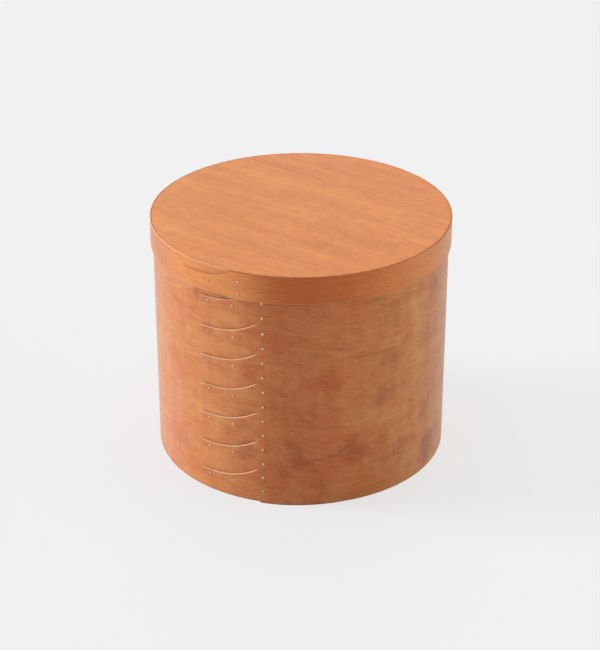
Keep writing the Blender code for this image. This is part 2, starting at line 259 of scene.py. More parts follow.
class Shaper(Tree):
    """A Geometry Nodes tree with named inputs."""

    def __init__(self, name, values):
        super().__init__(bpy.data.node_groups.new(name, "GeometryNodeTree"))
        self.values = values
        face = self.graph.interface
        face.new_socket("Geometry", in_out="OUTPUT", socket_type="NodeSocketGeometry")
        face.new_socket("Geometry", in_out="INPUT", socket_type="NodeSocketGeometry")
        for label, value in values.items():
            kind = SOCKET_KINDS.get(type(value), "NodeSocketMaterial")
            face.new_socket(label, in_out="INPUT", socket_type=kind)
        entry = self.graph.nodes.new("NodeGroupInput")
        self.entry = {socket.name: Wire(self, socket) for socket in entry.outputs if socket.name}

    def __getitem__(self, label):
        return self.entry[label]

    def close(self, geometry):
        """Ends the tree: instances made real, and the material set."""
        real = self.node("GeometryNodeRealizeInstances", {"Geometry": geometry})
        dressed = self.node("GeometryNodeSetMaterial", {"Geometry": real, "Material": self["Material"]})
        self.node("NodeGroupOutput", {0: dressed})

    def run(self, guide, name):
        """Evaluates the tree on a guide object and gives the result as a plain mesh object."""
        modifier = guide.modifiers.new("shape", "NODES")
        modifier.node_group = self.graph
        for item in self.graph.interface.items_tree:
            if item.in_out == "INPUT" and item.name in self.values:
                modifier[item.identifier] = self.values[item.name]
        seen = guide.evaluated_get(bpy.context.evaluated_depsgraph_get())
        mesh = bpy.data.meshes.new_from_object(seen)
        bpy.data.objects.remove(guide)
        mesh.materials.clear()
        mesh.materials.append(self.values["Material"])
        mesh.polygons.foreach_set("material_index", [0] * len(mesh.polygons))
        print(name, "faces:", len(mesh.polygons))
        return new_object(name, mesh)


def new_object(name, data):
    made = bpy.data.objects.new(name, data)
    bpy.context.scene.collection.objects.link(made)
    return made


def as_mesh(work, name):
    """The finished work as a mesh."""
    mesh = bpy.data.meshes.new(name)
    work.to_mesh(mesh)
    work.free()
    return mesh


print("trees take inputs of", len(SOCKET_KINDS) + 1, "kinds")

# %% [markdown]
# ## The strips, drawn flat
#
# A box maker cuts the fingers with a knife on the flat strip, pares their edges back and only then steams
# and bends it. The strip is made here in the same order. Its outline is triangulated with a line wherever
# it will bend, and the two faces are joined by rings of faces: a softened arris inside, the pared edge,
# and a softened arris outside. The paring leans only on the fingers, as the long edges are cut square.

# %% Sizes of the strips
FINGERS = 7
FINGER_LENGTH = 0.062
FINGER_TIP_HEIGHT = 0.0072
FINGER_SWELL = 3.0
FINGER_DROOP = 0.0018
BOTTOM_MARGIN = 0.0045
TOP_MARGIN = 0.0159
FINGER_PITCH = (box_high.z - box_low.z - BOTTOM_MARGIN - TOP_MARGIN) / FINGERS
END_RUN = 0.003
BOX_TIP_ANGLE = math.radians(-41)
BOX_THICKNESS = 0.0020
BOX_ROOT_TACK = FINGER_LENGTH + 0.0066
BOX_LAP_BEHIND_TACKS = 0.0204
BOX_FEATHER = 0.047

LID_FINGER_LENGTH = 0.0594
LID_TIP_HEIGHT = 0.0106
LID_FINGER_SWELL = 3.3
LID_FINGER_DROP = 0.0012
LID_TIP_ANGLE = math.radians(-48.3)
LID_THICKNESS = 0.0015
LID_ROOT_TACK = LID_FINGER_LENGTH + 0.007
LID_LAP_BEHIND_TACKS = 0.0056
LID_FEATHER = 0.038

FEATHER_END = 0.0004
LAP_GAP = 0.0002
LAP_FADE = 0.015
PRESS_LEAD = 0.018
PRESS_FADE = 0.052

COLUMNS = 320
ROW_PITCH = 0.016
CURVE_STEPS = 18
TIP_STEPS = 4
TIP_CORNER = 0.0011
PARING = 0.0004
ARRIS = 0.00034
NEARLY_STRAIGHT = 0.02
TINY = 1e-6

print("pitch of the fingers in mm:", round(FINGER_PITCH * 1000, 2))


# %% A finger and a strip
@dataclass
class Finger:
    """A swallow-tail finger: a narrow tip at x = 0 that swells towards its root."""

    middle: float
    tip_half: float
    root_half: float
    length: float
    swell: float
    droop: float = 0.0

    def centre(self, x):
        return self.middle + self.droop * (x / self.length - 0.5)

    def half(self, x):
        """Half the finger's height, with the corners of its tip rounded."""
        left = max(TIP_CORNER - x, 0.0)
        corner = TIP_CORNER - math.sqrt(TIP_CORNER ** 2 - left ** 2)
        rise = self.root_half - self.tip_half
        return self.tip_half + rise * (x / self.length) ** self.swell - corner

    def edge(self, side, stop):
        """The upper (1) or lower (-1) edge, with points close together at the rounded tip."""
        turns = [k / TIP_STEPS * math.pi / 2 for k in range(TIP_STEPS)]
        reach = [TIP_CORNER * (1 - math.cos(turn)) for turn in turns]
        reach += [TIP_CORNER + (stop - TIP_CORNER) * k / CURVE_STEPS for k in range(CURVE_STEPS + 1)]
        return [(x, self.centre(x) + side * self.half(x)) for x in reach]


@dataclass
class Strip:
    """A flat strip with a fingered end at x = 0 and a feathered end, and how it bends.

    Past its low and high ends the strip has its full height. Let in is how far the lap leans inwards at
    the rim, as a share of what it stands proud.
    """

    radius: float
    thickness: float
    bottom: float
    top: float
    tip_angle: float
    fingers: list
    lap_end: float
    feather: float
    low_end: float
    high_end: float
    let_in: float

    def __post_init__(self):
        self.around = 2 * math.pi * self.radius
        self.length = self.around + self.lap_end

    def outline(self):
        """Anticlockwise from the foot of the feathered end."""
        points = [(self.length, self.bottom), (self.length, self.top)]
        if self.high_end > self.fingers[-1].length:
            points.append((self.high_end, self.top))
        for finger in reversed(self.fingers):
            first, last = finger is self.fingers[0], finger is self.fingers[-1]
            upper = min(self.high_end, finger.length) if last else finger.length
            lower = min(self.low_end, finger.length) if first else finger.length
            points += finger.edge(1, upper)[::-1]
            points += finger.edge(-1, lower)[: None if first else -1]
        if self.low_end > self.fingers[0].length:
            points.append((self.low_end, self.bottom))
        return points

    def columns(self):
        """Lines to bend along, clear of the tips, the roots and the feathered edge."""
        step = self.around / COLUMNS
        corners = (self.fingers[0].length, self.low_end, self.high_end)
        root, past_root = min(corners), max(corners) + 3 * PARING
        clear = [0.0, root, past_root, self.length]
        lines = [step * (k + 0.5) for k in range(int(self.length / step))]
        lines = [x for x in lines if min(abs(x - c) for c in clear) > step / 2]
        return [past_root] + [x for x in lines if not root < x < past_root]

    def pared(self, ends):
        """Whether an edge of the outline belongs to the fingers."""
        (x1, z1), (x2, z2) = ends
        on_line = any(abs(z1 - z) < TINY and abs(z2 - z) < TINY for z in (self.bottom, self.top))
        return not on_line and max(x1, x2) < self.length / 2


print("points round a finger:", 2 * (TIP_STEPS + CURVE_STEPS + 1))


# %% The two strips
def box_fingers():
    """The fingers of the box, evenly spread between its margins."""
    centres = [box_low.z + BOTTOM_MARGIN + FINGER_PITCH * (k + 0.5) for k in range(FINGERS)]
    tip, root = FINGER_TIP_HEIGHT / 2, FINGER_PITCH / 2
    return [Finger(z, tip, root, FINGER_LENGTH, FINGER_SWELL, FINGER_DROOP) for z in centres]


box_strip = Strip(
    radius=box_high.x, thickness=BOX_THICKNESS, bottom=box_low.z, top=box_high.z,
    tip_angle=BOX_TIP_ANGLE, fingers=box_fingers(), feather=BOX_FEATHER, let_in=1.0,
    lap_end=BOX_ROOT_TACK + BOX_LAP_BEHIND_TACKS + BOX_FEATHER,
    low_end=FINGER_LENGTH + END_RUN, high_end=FINGER_LENGTH + END_RUN,
)

lid_middle = (lid_low.z + lid_high.z) / 2 - LID_FINGER_DROP
lid_tip, lid_root = LID_TIP_HEIGHT / 2, lid_high.z - lid_middle
lid_finger = Finger(lid_middle, lid_tip, lid_root, LID_FINGER_LENGTH, LID_FINGER_SWELL)
swollen = (lid_middle - lid_low.z - lid_tip) / (lid_root - lid_tip)
lid_strip = Strip(
    radius=lid_high.x, thickness=LID_THICKNESS, bottom=lid_low.z, top=lid_high.z,
    tip_angle=LID_TIP_ANGLE, fingers=[lid_finger], feather=LID_FEATHER, let_in=0.0,
    lap_end=LID_ROOT_TACK + LID_LAP_BEHIND_TACKS + LID_FEATHER,
    low_end=LID_FINGER_LENGTH * swollen ** (1 / LID_FINGER_SWELL), high_end=LID_FINGER_LENGTH,
)
print("strip lengths in mm:", round(box_strip.length * 1000), round(lid_strip.length * 1000))

# %% [markdown]
# The edge of the wood is a profile: how deep a ring of points lies, and how far it draws in from the
# outline on a square edge and on a pared one. A quarter-round needs one point between its ends to look soft.


# %% The profile of an edge
def edge_profile(thickness):
    """Rings from the inner face to the outer: depth, draw-in of a square edge, and of a pared one."""
    between = ARRIS * (1 - math.sqrt(0.5))
    rings = [(0.0, ARRIS), (between, between), (ARRIS, 0.0)]
    rings += [(thickness - ARRIS, 0.0), (thickness - between, between), (thickness, ARRIS)]
    return [(depth, inset, inset + PARING * depth / thickness) for depth, inset in rings]


def draw_in(before, after, first, second):
    """The step that moves a corner inwards by one distance from each of its two edges."""
    (ax, az), (bx, bz) = before, after
    cross = ax * bz - az * bx
    if abs(cross) < NEARLY_STRAIGHT:
        return (ax * first, az * first)
    return ((first * bz - second * az) / cross, (ax * second - bx * first) / cross)


def inward(start, end):
    """The unit vector into the wood from an outline's edge, which runs anticlockwise."""
    dx, dz = end[0] - start[0], end[1] - start[1]
    size = math.hypot(dx, dz)
    return (-dz / size, dx / size)


print("rings round an edge:", len(edge_profile(BOX_THICKNESS)))


# %% The strip as a mesh
def triangulated(strip):
    """The outline cut into triangles, with lines to bend along: its corners and its triangles."""
    points = strip.outline()
    faces = [list(range(len(points)))]
    columns = strip.columns()
    rows = int((strip.top - strip.bottom) / ROW_PITCH)
    heights = [strip.bottom + (strip.top - strip.bottom) * row / rows for row in range(1, rows)]
    lines = [((x, strip.bottom), (x, strip.top)) for x in columns]
    lines += [((columns[0], z), (strip.length - 2 * ARRIS, z)) for z in heights]
    edges = []
    for line in lines:
        edges.append((len(points), len(points) + 1))
        points += line
    flat = [Vector(point) for point in points]
    corners, _, triangles, _, _, owners = delaunay_2d_cdt(flat, edges, faces, 0, TINY)
    return corners, [triangle for triangle, owner in zip(triangles, owners) if owner]


def along_outline(triangles):
    """Which corner comes after each corner of the outline, anticlockwise."""
    follows = {}
    for triangle in triangles:
        for a, b in zip(triangle, triangle[1:] + triangle[:1]):
            follows.setdefault(a, set()).add(b)
    return {a: b for a in follows for b in follows[a] if a not in follows[b]}


def flat_strip(strip, name):
    """The strip before it bends: X along, Y from the inner face outwards, Z up."""
    corners, triangles = triangulated(strip)
    onward = along_outline(triangles)
    backward = {b: a for a, b in onward.items()}
    profile = edge_profile(strip.thickness)
    work = bmesh.new()
    grain = work.verts.layers.float_vector.new("grain")

    def put(x, depth, z):
        vert = work.verts.new((x, depth, z))
        vert[grain] = (x, z, depth)
        return vert

    rings = {}
    for corner in {c for triangle in triangles for c in triangle}:
        x, z = corners[corner]
        if corner not in onward:
            inner, outer = put(x, 0.0, z), put(x, strip.thickness, z)
            rings[corner] = [inner, outer]
            continue
        sides = [(corners[backward[corner]], corners[corner]), (corners[corner], corners[onward[corner]])]
        normals = [inward(*side) for side in sides]
        pared = [strip.pared(side) for side in sides]
        rings[corner] = []
        for depth, square, lean in profile:
            draws = [lean if side else square for side in pared]
            step_x, step_z = draw_in(*normals, *draws)
            rings[corner].append(put(x + step_x, depth, z + step_z))
    for a, b, c in triangles:
        work.faces.new((rings[a][-1], rings[b][-1], rings[c][-1]))
        work.faces.new((rings[c][0], rings[b][0], rings[a][0]))
    for a, b in onward.items():
        for low, high in zip(range(len(profile)), range(1, len(profile))):
            work.faces.new((rings[a][low], rings[b][low], rings[b][high], rings[a][high]))
    bmesh.ops.recalc_face_normals(work, faces=work.faces[:])
    mesh = as_mesh(work, name)
    print(name, "points:", len(mesh.vertices))
    return new_object(name, mesh)


print("lines to bend the box along:", len(box_strip.columns()))

# %% [markdown]
# ## Bending the strips
#
# Each hoop follows a rule: x turns into an angle, and the depth into a radius. Over the lap the outer end
# rides on the inner one, whose thickness tapers to a feather, so the radius changes with x as well. On the
# box the whole lap also leans in towards the rim, where the lid has to pass over it. Written as a tree of
# nodes the rule has named inputs, and one tree bends both strips.

# %% The bending tree
WAVER = 0.00012
CLOSING = 0.00012


def bending(strip, material):
    """The tree that bends a strip, with the strip's sizes as its inputs."""
    values = {
        "Outer radius": strip.radius, "Thickness": strip.thickness, "Length": strip.length,
        "Lap end": strip.lap_end, "Feather": strip.feather, "Feather end": FEATHER_END,
        "Layer gap": LAP_GAP, "Lap fade": LAP_FADE, "Press lead": PRESS_LEAD, "Press fade": PRESS_FADE,
        "Bottom": strip.bottom, "Top": strip.top, "Let in": strip.let_in, "Tip angle": strip.tip_angle,
        "Closing": CLOSING, "Waver": WAVER, "Material": material,
    }
    tree = Shaper("bend strip", values)
    thickness, gap, tail = tree["Thickness"], tree["Layer gap"], tree["Feather end"]
    around = tree["Outer radius"] * (2 * math.pi)
    x, depth, z = tree.node("GeometryNodeInputPosition").parts()

    def thickness_at(place):
        past = ((place - tree["Length"] + tree["Feather"]) / tree["Feather"]).clip()
        return thickness + (tail - thickness) * past

    def lapped(place):
        return (1 - (place - tree["Lap end"]) / tree["Lap fade"]).clip()

    def lift(place):
        return (thickness_at(place + around) + gap) * lapped(place)

    share = (z - tree["Bottom"]) / (tree["Top"] - tree["Bottom"]) * tree["Let in"]
    under = x - around
    give = (1 + (under + tree["Press lead"]) / tree["Press fade"]).clip()
    press = lift(under.apply("MAXIMUM", 0.0)) * give
    offset = lift(x) * (1 - share) - press * share
    closing = lapped(x) * tree["Closing"] * (1 - depth / thickness)
    radius = tree["Outer radius"] - thickness + offset - closing + depth * thickness_at(x) / thickness
    angle = tree["Tip angle"] + x / tree["Outer radius"]
    side, front = angle.apply("SINE"), -angle.apply("COSINE")
    waver = tree.noise(tree.vector(side, front, z * 9.0), 1.0) - 0.5
    radius = radius + waver * 2.0 * tree["Waver"]
    place = tree.vector(side * radius, front * radius, z)
    bent = tree.node("GeometryNodeSetPosition", {"Geometry": tree["Geometry"], "Position": place})
    tree.close(bent)
    return tree


print("the hoops waver by", WAVER * 1000, "mm")

# %% Smooth faces
SMOOTH_ANGLE = math.radians(50)


def soften(piece):
    """Smooth shading whose normals stay true on the broad faces beside a rounded edge."""
    piece.data.shade_smooth()
    piece.data.set_sharp_from_angle(angle=SMOOTH_ANGLE)
    weighted = piece.modifiers.new("true faces", "WEIGHTED_NORMAL")
    weighted.keep_sharp = True
    weighted.weight = 100
    seen = piece.evaluated_get(bpy.context.evaluated_depsgraph_get())
    mesh = bpy.data.meshes.new_from_object(seen)
    piece.modifiers.clear()
    piece.data = mesh
    return piece


print("edges stay sharp from", round(math.degrees(SMOOTH_ANGLE)), "degrees")

# %% [markdown]
# ## The finishes
#
# The band and the rim are oiled and rubbed: a satin surface whose gloss varies a little with the grain.
# A finish is built from the layers of the grain by mixing colours, and the same layers drive roughness
# and a very fine bump, so that a ring line is also felt where light grazes it. Rubbed wood has a nap too,
# too short to see: the sheen stands for it, and pales the wall where it turns away from us.

# %% The shared start and end of every wood finish
OIL_ROUGHNESS = 0.42
INSIDE_ROUGHNESS = 0.62
EDGE_ROUGHNESS = 0.80
OIL_IOR = 1.42
GRAIN_RELIEF = 0.0003
RELIEF_STRENGTH = 0.3
FIBRE_SHARE = 0.70
PORE_SHARE = 0.35
NAP = 0.23
NAP_ROUGHNESS = 0.40


def new_finish(name):
    made = bpy.data.materials.new(name)
    made.use_nodes = True
    return made, Tree(made.node_tree)


def base_wood(tree, grain, tone, pale=CHERRY_PALE, deep=CHERRY_RED, streaky=0.28, mottled=0.52):
    """The body of the wood: bands, streaks, fibres and pores, and the relief that they leave."""
    fibres, pores, streaks = grain.fibres(), grain.pores(), grain.streaks()
    broad = grain.bands() * 0.7 * streaky + (grain.mottle() + grain.curl() * 0.5) * mottled
    light = broad + streaks * streaky + fibres * FIBRE_SHARE + tone
    colour = tree.mix(light.clip(), deep, pale)
    colour = tree.mix(pores * PORE_SHARE, colour, CHERRY_RING)
    return colour, fibres * 0.5 + streaks * 0.2 - pores


def finish_wood(tree, colour, roughness, relief, nap=NAP):
    felt = {"Height": relief, "Strength": RELIEF_STRENGTH, "Distance": GRAIN_RELIEF}
    bump = tree.node("ShaderNodeBump", felt)
    sockets = {"Base Color": colour, "Roughness": roughness, "Normal": bump, "IOR": OIL_IOR}
    sockets |= {"Sheen Weight": nap, "Sheen Roughness": NAP_ROUGHNESS}
    shader = tree.node("ShaderNodeBsdfPrincipled", sockets)
    tree.node("ShaderNodeOutputMaterial", {"Surface": shader})


def strip_place(tree, strip):
    """A strip's own coordinates: its place along the hoop, height, depth, and where it is the under layer."""
    along, z, depth = tree.node("ShaderNodeAttribute", attribute_name="grain", output="Vector").parts()
    under = along.apply("GREATER_THAN", strip.around / 2)
    return along, along - under * strip.around, z, depth, under


def strip_roughness(depth, thickness, grain_light):
    """Rubbed outside, bare inside; with the share of the inside."""
    inside = (1 - depth / (thickness * 0.5)).clip()
    return OIL_ROUGHNESS + (INSIDE_ROUGHNESS - OIL_ROUGHNESS) * inside + grain_light * 0.06, inside


print("finishes share roughness", OIL_ROUGHNESS, "outside and", INSIDE_ROUGHNESS, "inside")

# %% [markdown]
# A finish also changes from place to place: a cut edge drinks more oil than a face, and the sides of the
# box, where the wall turns away from the front, are painted greyer as a painted sheen, while the front at the
# lap keeps its red. Each such change is a share between 0 and 1, and nearly all of them are a ramp up or
# down, with or without soft ends. A tint is a share with a colour to multiply by; the tints are painted
# light, the colour of the light that falls on one side.

# %% Shares that change from place to place
EDGE_SLOPE = 8.0
OUTER_SLOPE = 5.0
OUTER_START = 0.56
FAR_SIDE = (0.31, 0.12)
SHEEN_RIGHT_RUN, SHEEN_LEFT_RUN = 0.065, 0.05


def ramp(value, start, run):
    """0 before a start, 1 past its run, and even between."""
    return ((value - start) / run).clip()


def ramp_down(value, end, run):
    """1 until one run before an end, 0 past it, and even between."""
    return ((end - value) / run).clip()


def smooth(share):
    """The same share with soft ends."""
    return share * share * (3 - 2 * share)


def edge_shares(depth, thickness, start=OUTER_START):
    """1 on the cut edges of a strip and 0 on its faces; and the same for the outer part of the edge."""
    edge = ((1 - (depth / thickness * 2 - 1).apply("ABSOLUTE")) * EDGE_SLOPE).clip()
    return edge, ((depth / thickness - start) * OUTER_SLOPE).clip()


def near_side(x):
    """1 on the side of the lap, and 0 before the far side, where x starts again from below."""
    return 1 - smooth(ramp(x, *FAR_SIDE))


def greyed_by_sheen(tree, x, colour, right, left):
    """Painted sheen: the colour is greyed, with less red, on the sides of the box past these places and at
    its back.
    """
    away = smooth(ramp(x, right, SHEEN_RIGHT_RUN)) + smooth(ramp_down(x, left, SHEEN_LEFT_RUN))
    return tree.mix(away.clip(), colour, SIDE_SHEEN_TINT, "MULTIPLY")


def tinted_by_light(tree, x, colour, tints):
    """Multiplies the colour by each tint between its two places, which end softly: painted light, the colour
    of the light that falls there.
    """
    for start, end, soft, tint in tints:
        share = smooth(ramp(x, start, soft)) * smooth(ramp_down(x, end, soft))
        colour = tree.mix(share, colour, tint, "MULTIPLY")
    return colour


def spot(x, z, middle_x, middle_z, half_width, half_height):
    """A soft round mark, 1 in its middle."""
    dx, dz = (x - middle_x) / half_width, (z - middle_z) / half_height
    return (1 - dx * dx - dz * dz).clip()


print("the far side of the box starts", FAR_SIDE[0], "m past the tips")

# %% [markdown]
# The wall of the box has the most to show. Left of the fingers the wood is pale and pinkish, the fingers
# are a warm tan, and past the tacks it is redder. There its ring lines drop and then run level, and low on
# the front two of them meet in a point, as they do over a swelling in the log. A ring is drawn from its
# start, its fall and its run, so a few numbers place each one. The smoky spots come from a short list too,
# read as a designer reads a sketch, and noise frays their outlines.

# %% Where the marks of the wall lie
RING_WIDTH = 0.0007
RING_SHADE = 0.0045
RING_SLOPE = 0.02
RING_LEAD, RING_FADE_IN, RING_FADE_OUT = 0.012, 0.02, 0.035

# Each ring: where it starts to fall, over what run, from what height, by how much, its end, its strength.
FALLING_RINGS = (
    (0.098, 0.065, 0.2160, 0.020, 0.195, 0.50),
    (0.080, 0.058, 0.1970, 0.026, 0.180, 0.75),
    (0.106, 0.045, 0.1705, 0.010, 0.270, 0.75),
    (0.086, 0.062, 0.1620, 0.034, 0.160, 0.90),
    (0.074, 0.064, 0.1270, 0.021, 0.205, 0.65),
    (-0.020, 0.050, 0.1395, -0.002, 0.046, 0.60),
    (-0.075, 0.030, 0.1855, -0.001, -0.028, 0.35),
    (0.120, 0.070, 0.0380, 0.010, 0.230, 0.35),
)
POINT_OF_RINGS = (0.1620, 0.0735)
POINT_REACH = 0.02
POINT_SHARP = 0.0015
POINT_FADE = (0.074, 0.03)
UPPER_RISE, UPPER_SLOPE = 0.0105, 0.0019
LOWER_FALL, LOWER_SLOPE = 0.0182, 0.0048

# Each smoky spot: its middle, its half width and half height, and how dark it is.
SMOKY_SPOTS = (
    (0.177, 0.216, 0.016, 0.008, 0.60),
    (0.201, 0.194, 0.011, 0.018, 0.45),
    (0.262, 0.204, 0.014, 0.018, 0.60),
    (0.248, 0.160, 0.012, 0.011, 0.35),
    (0.199, 0.150, 0.016, 0.012, 0.75),
    (0.191, 0.111, 0.020, 0.013, 0.85),
    (0.098, 0.062, 0.009, 0.019, 0.50),
    (0.054, 0.058, 0.013, 0.013, 0.70),
    (0.156, 0.055, 0.019, 0.016, 0.80),
    (0.194, 0.066, 0.011, 0.013, 0.50),
    (0.190, 0.040, 0.014, 0.014, 0.60),
    (0.212, 0.045, 0.010, 0.024, 0.45),
    (0.250, 0.072, 0.014, 0.018, 0.70),
    (0.258, 0.024, 0.015, 0.024, 1.20),
    (0.130, 0.018, 0.010, 0.014, 0.40),
    (-0.034, 0.041, 0.012, 0.016, 0.45),
    (0.047, 0.087, 0.010, 0.011, 0.60),
    (0.043, 0.050, 0.011, 0.009, 0.50),
)

# Each patch of figure: its middle, its half width and half height, and how much paler (or redder) it is.
FIGURE = (
    (0.128, 0.134, 0.026, 0.013, -0.70),
    (0.060, 0.143, 0.022, 0.013, -0.50),
    (0.093, 0.176, 0.024, 0.012, -0.35),
    (0.050, 0.192, 0.016, 0.012, -0.30),
    (0.094, 0.046, 0.024, 0.018, -0.40),
    (0.148, 0.046, 0.030, 0.014, -0.30),
    (0.184, 0.178, 0.020, 0.022, 0.35),
    (0.168, 0.088, 0.024, 0.016, 0.35),
    (0.214, 0.062, 0.020, 0.012, 0.40),
    (0.088, 0.155, 0.018, 0.010, 0.35),
    (0.022, 0.038, 0.018, 0.016, 0.45),
    (0.017, 0.084, 0.016, 0.015, 0.45),
    (0.030, 0.163, 0.017, 0.010, 0.30),
    (0.110, 0.010, 0.060, 0.012, 0.30),
    (0.030, 0.198, 0.026, 0.010, 0.30),
)

print("ring lines:", len(FALLING_RINGS) + 2, "smoky spots:", len(SMOKY_SPOTS), "patches:", len(FIGURE))


# %% How a mark is drawn
def line_mark(height):
    """The mark of a line at a height above it: a thin core, and a soft shade below."""
    core = (1 - (height / RING_WIDTH).apply("ABSOLUTE")).clip()
    shade = (1 + height / RING_SHADE).clip() * (0.5 - height / RING_WIDTH).clip()
    return core * 0.7 + shade * shade * 0.3


def falling_ring(x, z, ring):
    """One ring line that falls, runs on with a slight slope and fades."""
    start, run, height, fall, end, strength = ring
    level = height - smooth(ramp(x, start, run)) * fall - (x - start - run) * RING_SLOPE
    fade = ((x - start + RING_LEAD) / RING_FADE_IN).clip() * ramp_down(x, end, RING_FADE_OUT)
    return line_mark(z - level) * fade * strength


def pointed_ring(x, z):
    """Two branches that leave one point, the upper nearly level and the lower falling away."""
    middle, height = POINT_OF_RINGS
    back = ((middle - x) / POINT_REACH).clip_low()
    upper = line_mark(z - height - (back * 1.5).clip() * UPPER_RISE - back * UPPER_SLOPE) * 0.65
    fall = back.clip() ** 0.75 * LOWER_FALL + (back - 1).clip_low() * LOWER_SLOPE
    lower = line_mark((height - fall - z) * 0.62) * (1.4 - back * 0.13)
    return upper.apply("MAXIMUM", lower) * ramp_down(x, middle, POINT_SHARP) * ramp(x, *POINT_FADE)


def drawn_rings(x, z, grain):
    """The darkest of all the drawn ring lines, broken here and there."""
    stray = grain.tremble()
    drawn = pointed_ring(x, z + stray * 1.1)
    for ring in FALLING_RINGS:
        drawn = drawn.apply("MAXIMUM", falling_ring(x, z + stray, ring))
    return drawn * (grain.layer(80.0, 120.0, 30.0, 3.0, 0.6) * 1.5 + 0.80).clip()


def spotted(x, z, grain, spots):
    """The sum of all the spots of a list, with frayed outlines."""
    frayed_x = x + grain.layer(110.0, 45.0, 20.0, 4.0, 0.6) * 0.017
    frayed_z = z + grain.layer(70.0, 80.0, 20.0, 4.0, 0.6) * 0.015
    marks = [spot(frayed_x, frayed_z, *place) * strength for *place, strength in spots]
    return sum(marks[1:], marks[0])


print("a ring line is", RING_WIDTH * 1000, "mm wide each way, with a shade of", RING_SHADE * 1000, "mm")

# %% [markdown]
# Where the fingers step down onto the layer below, dust and oil gather in the corner and leave a dark line,
# which painted shade deepens, most below each finger. The shader finds that corner from the same rule that
# shaped the fingers. Dust and painted shade also lie round the head of every tack, which is what makes a tack
# look driven in.

# %% Dirt and painted shade in the corners and round the tacks
JOINT_REACH = 0.0007
JOINT_DROP = 0.0013
TIP_TACK, MIDDLE_TACK = 0.0105, 0.0384
ROOT_TACKS_SHOWN = 14
ROOT_TACK_ABOVE_EDGE = 0.0135
ROOT_TACK_BELOW_LID = 0.0023
# Dust round a tack, with painted shade round its head.
DUST_AND_SHADE_REACH = 0.0027
DUST_AND_SHADE_SHARE = 0.42
# The dark colour of dirt and of painted shade.
DIRT_AND_SHADE_DARK = (0.25, 0.066, 0.012)


def finger_rung(x, z):
    """The height above the middle of the nearest finger of the box."""
    rung = ((z - box_low.z - BOTTOM_MARGIN) / FINGER_PITCH).apply("FRACT") - 0.5
    return rung * FINGER_PITCH - (x / FINGER_LENGTH - 0.5) * FINGER_DROOP


def among_fingers(x, z):
    """1 in the part of the lap that has fingers."""
    level = (z - box_low.z - BOTTOM_MARGIN) / FINGER_PITCH
    rows = level.apply("GREATER_THAN", 0.0) * level.apply("LESS_THAN", FINGERS)
    return rows * x.apply("LESS_THAN", FINGER_LENGTH)


def joint_dirt_and_shade(x, z, rung):
    """The dark line on the layer below, round the fingers: dirt, and painted shade that reaches farther below
    each finger.
    """
    rise = (FINGER_PITCH - FINGER_TIP_HEIGHT) / 2
    half = (x / FINGER_LENGTH).clip() ** FINGER_SWELL * rise + FINGER_TIP_HEIGHT / 2
    outside = (rung.apply("ABSOLUTE") - half).apply("MAXIMUM", -x)
    below = rung.apply("LESS_THAN", 0.0)
    reach = below * JOINT_DROP + JOINT_REACH
    return (1 - outside / reach).clip() * (below * 0.6 + 0.4) * among_fingers(x, z)


def tack_dust_and_shade(across, up):
    """The dust round the head of a tack that stands so far across and up, with painted shade round the head.
    """
    return (1 - (across * across + up * up) / DUST_AND_SHADE_REACH ** 2).clip()


def nearer_of(x, first, second):
    """How far the nearer of two places is along the strip."""
    return (x - first).apply("ABSOLUTE").apply("MINIMUM", (x - second).apply("ABSOLUTE"))


def wall_dust_and_shade(x, z, rung):
    """The dust and painted shade round the two tacks of each finger and round the column at the roots."""
    on_fingers = tack_dust_and_shade(nearer_of(x, TIP_TACK, MIDDLE_TACK), rung) * among_fingers(x, z)
    spacing = (lid_low.z - box_low.z - ROOT_TACK_BELOW_LID - ROOT_TACK_ABOVE_EDGE) / (ROOT_TACKS_SHOWN - 1)
    step = ((z - box_low.z - ROOT_TACK_ABOVE_EDGE) / spacing + 0.5).apply("FRACT") - 0.5
    return on_fingers.apply("MAXIMUM", tack_dust_and_shade(x - BOX_ROOT_TACK, step * spacing))


print("dust reaches", DUST_AND_SHADE_REACH * 1000, "mm from the middle of a tack")

# %% [markdown]
# The wall's finish lays these over the grain one after another. The grain itself drops past the fingers,
# as its ring lines do. Left of the lap the cool daylight is painted in as a pinker tint, and far to the right
# the cooler light from that side a little too. The tips of the fingers are a little stained. A soft painted
# shade lies under the lid, deeper where the layer below steps back, and a thin one at the foot.

# %% Stain, shade and cut edges of the wall
STAIN_FROM, STAIN_TO, STAIN_FRAY = -0.02, 0.05, 0.0025
TIP_STAIN = (0.0080, -0.0012, 0.0110, 0.0062)
TOP_TIP_STAIN = (-0.0052, 0.2135, 0.0060, 0.0110)
LID_SHADE = 0.0036


def tip_stain(x, z, rung, grain):
    """The stain at the tips of the fingers, darkest at the topmost."""
    frayed = x + grain.layer(120.0, 120.0, 60.0) * STAIN_FRAY
    stain = spot(frayed, rung, *TIP_STAIN) * 0.35 + spot(frayed, z, *TOP_TIP_STAIN) * 0.9
    return stain * x.apply("GREATER_THAN", STAIN_FROM) * x.apply("LESS_THAN", STAIN_TO)


def lid_shade(x, z):
    """The shade under the lid, which is strongest at the front."""
    in_front = (1.3 - (x - 0.10) / 0.06).clip() * ((x + 0.12) / 0.05).clip()
    return ((z - lid_low.z + LID_SHADE) / LID_SHADE * 2).clip() * in_front


def wall_edge(tree, along, rung, outer):
    """The colour of a cut edge, and how much of it shows: dark with painted shade under the fingers, and
    elsewhere pale cut wood that carries a painted highlight.
    """
    fingers = along.apply("LESS_THAN", FINGER_LENGTH)
    above = rung.apply("GREATER_THAN", 0.0)
    pared = tree.mix(((outer * 0.65 + 0.35) * above + 1 - fingers).clip(), DIRT_AND_SHADE_DARK, PALE_CUT_AND_HIGHLIGHT)
    return pared, fingers * above * 0.35 + 0.45


print("the shade under the lid is", LID_SHADE * 1000, "mm high")

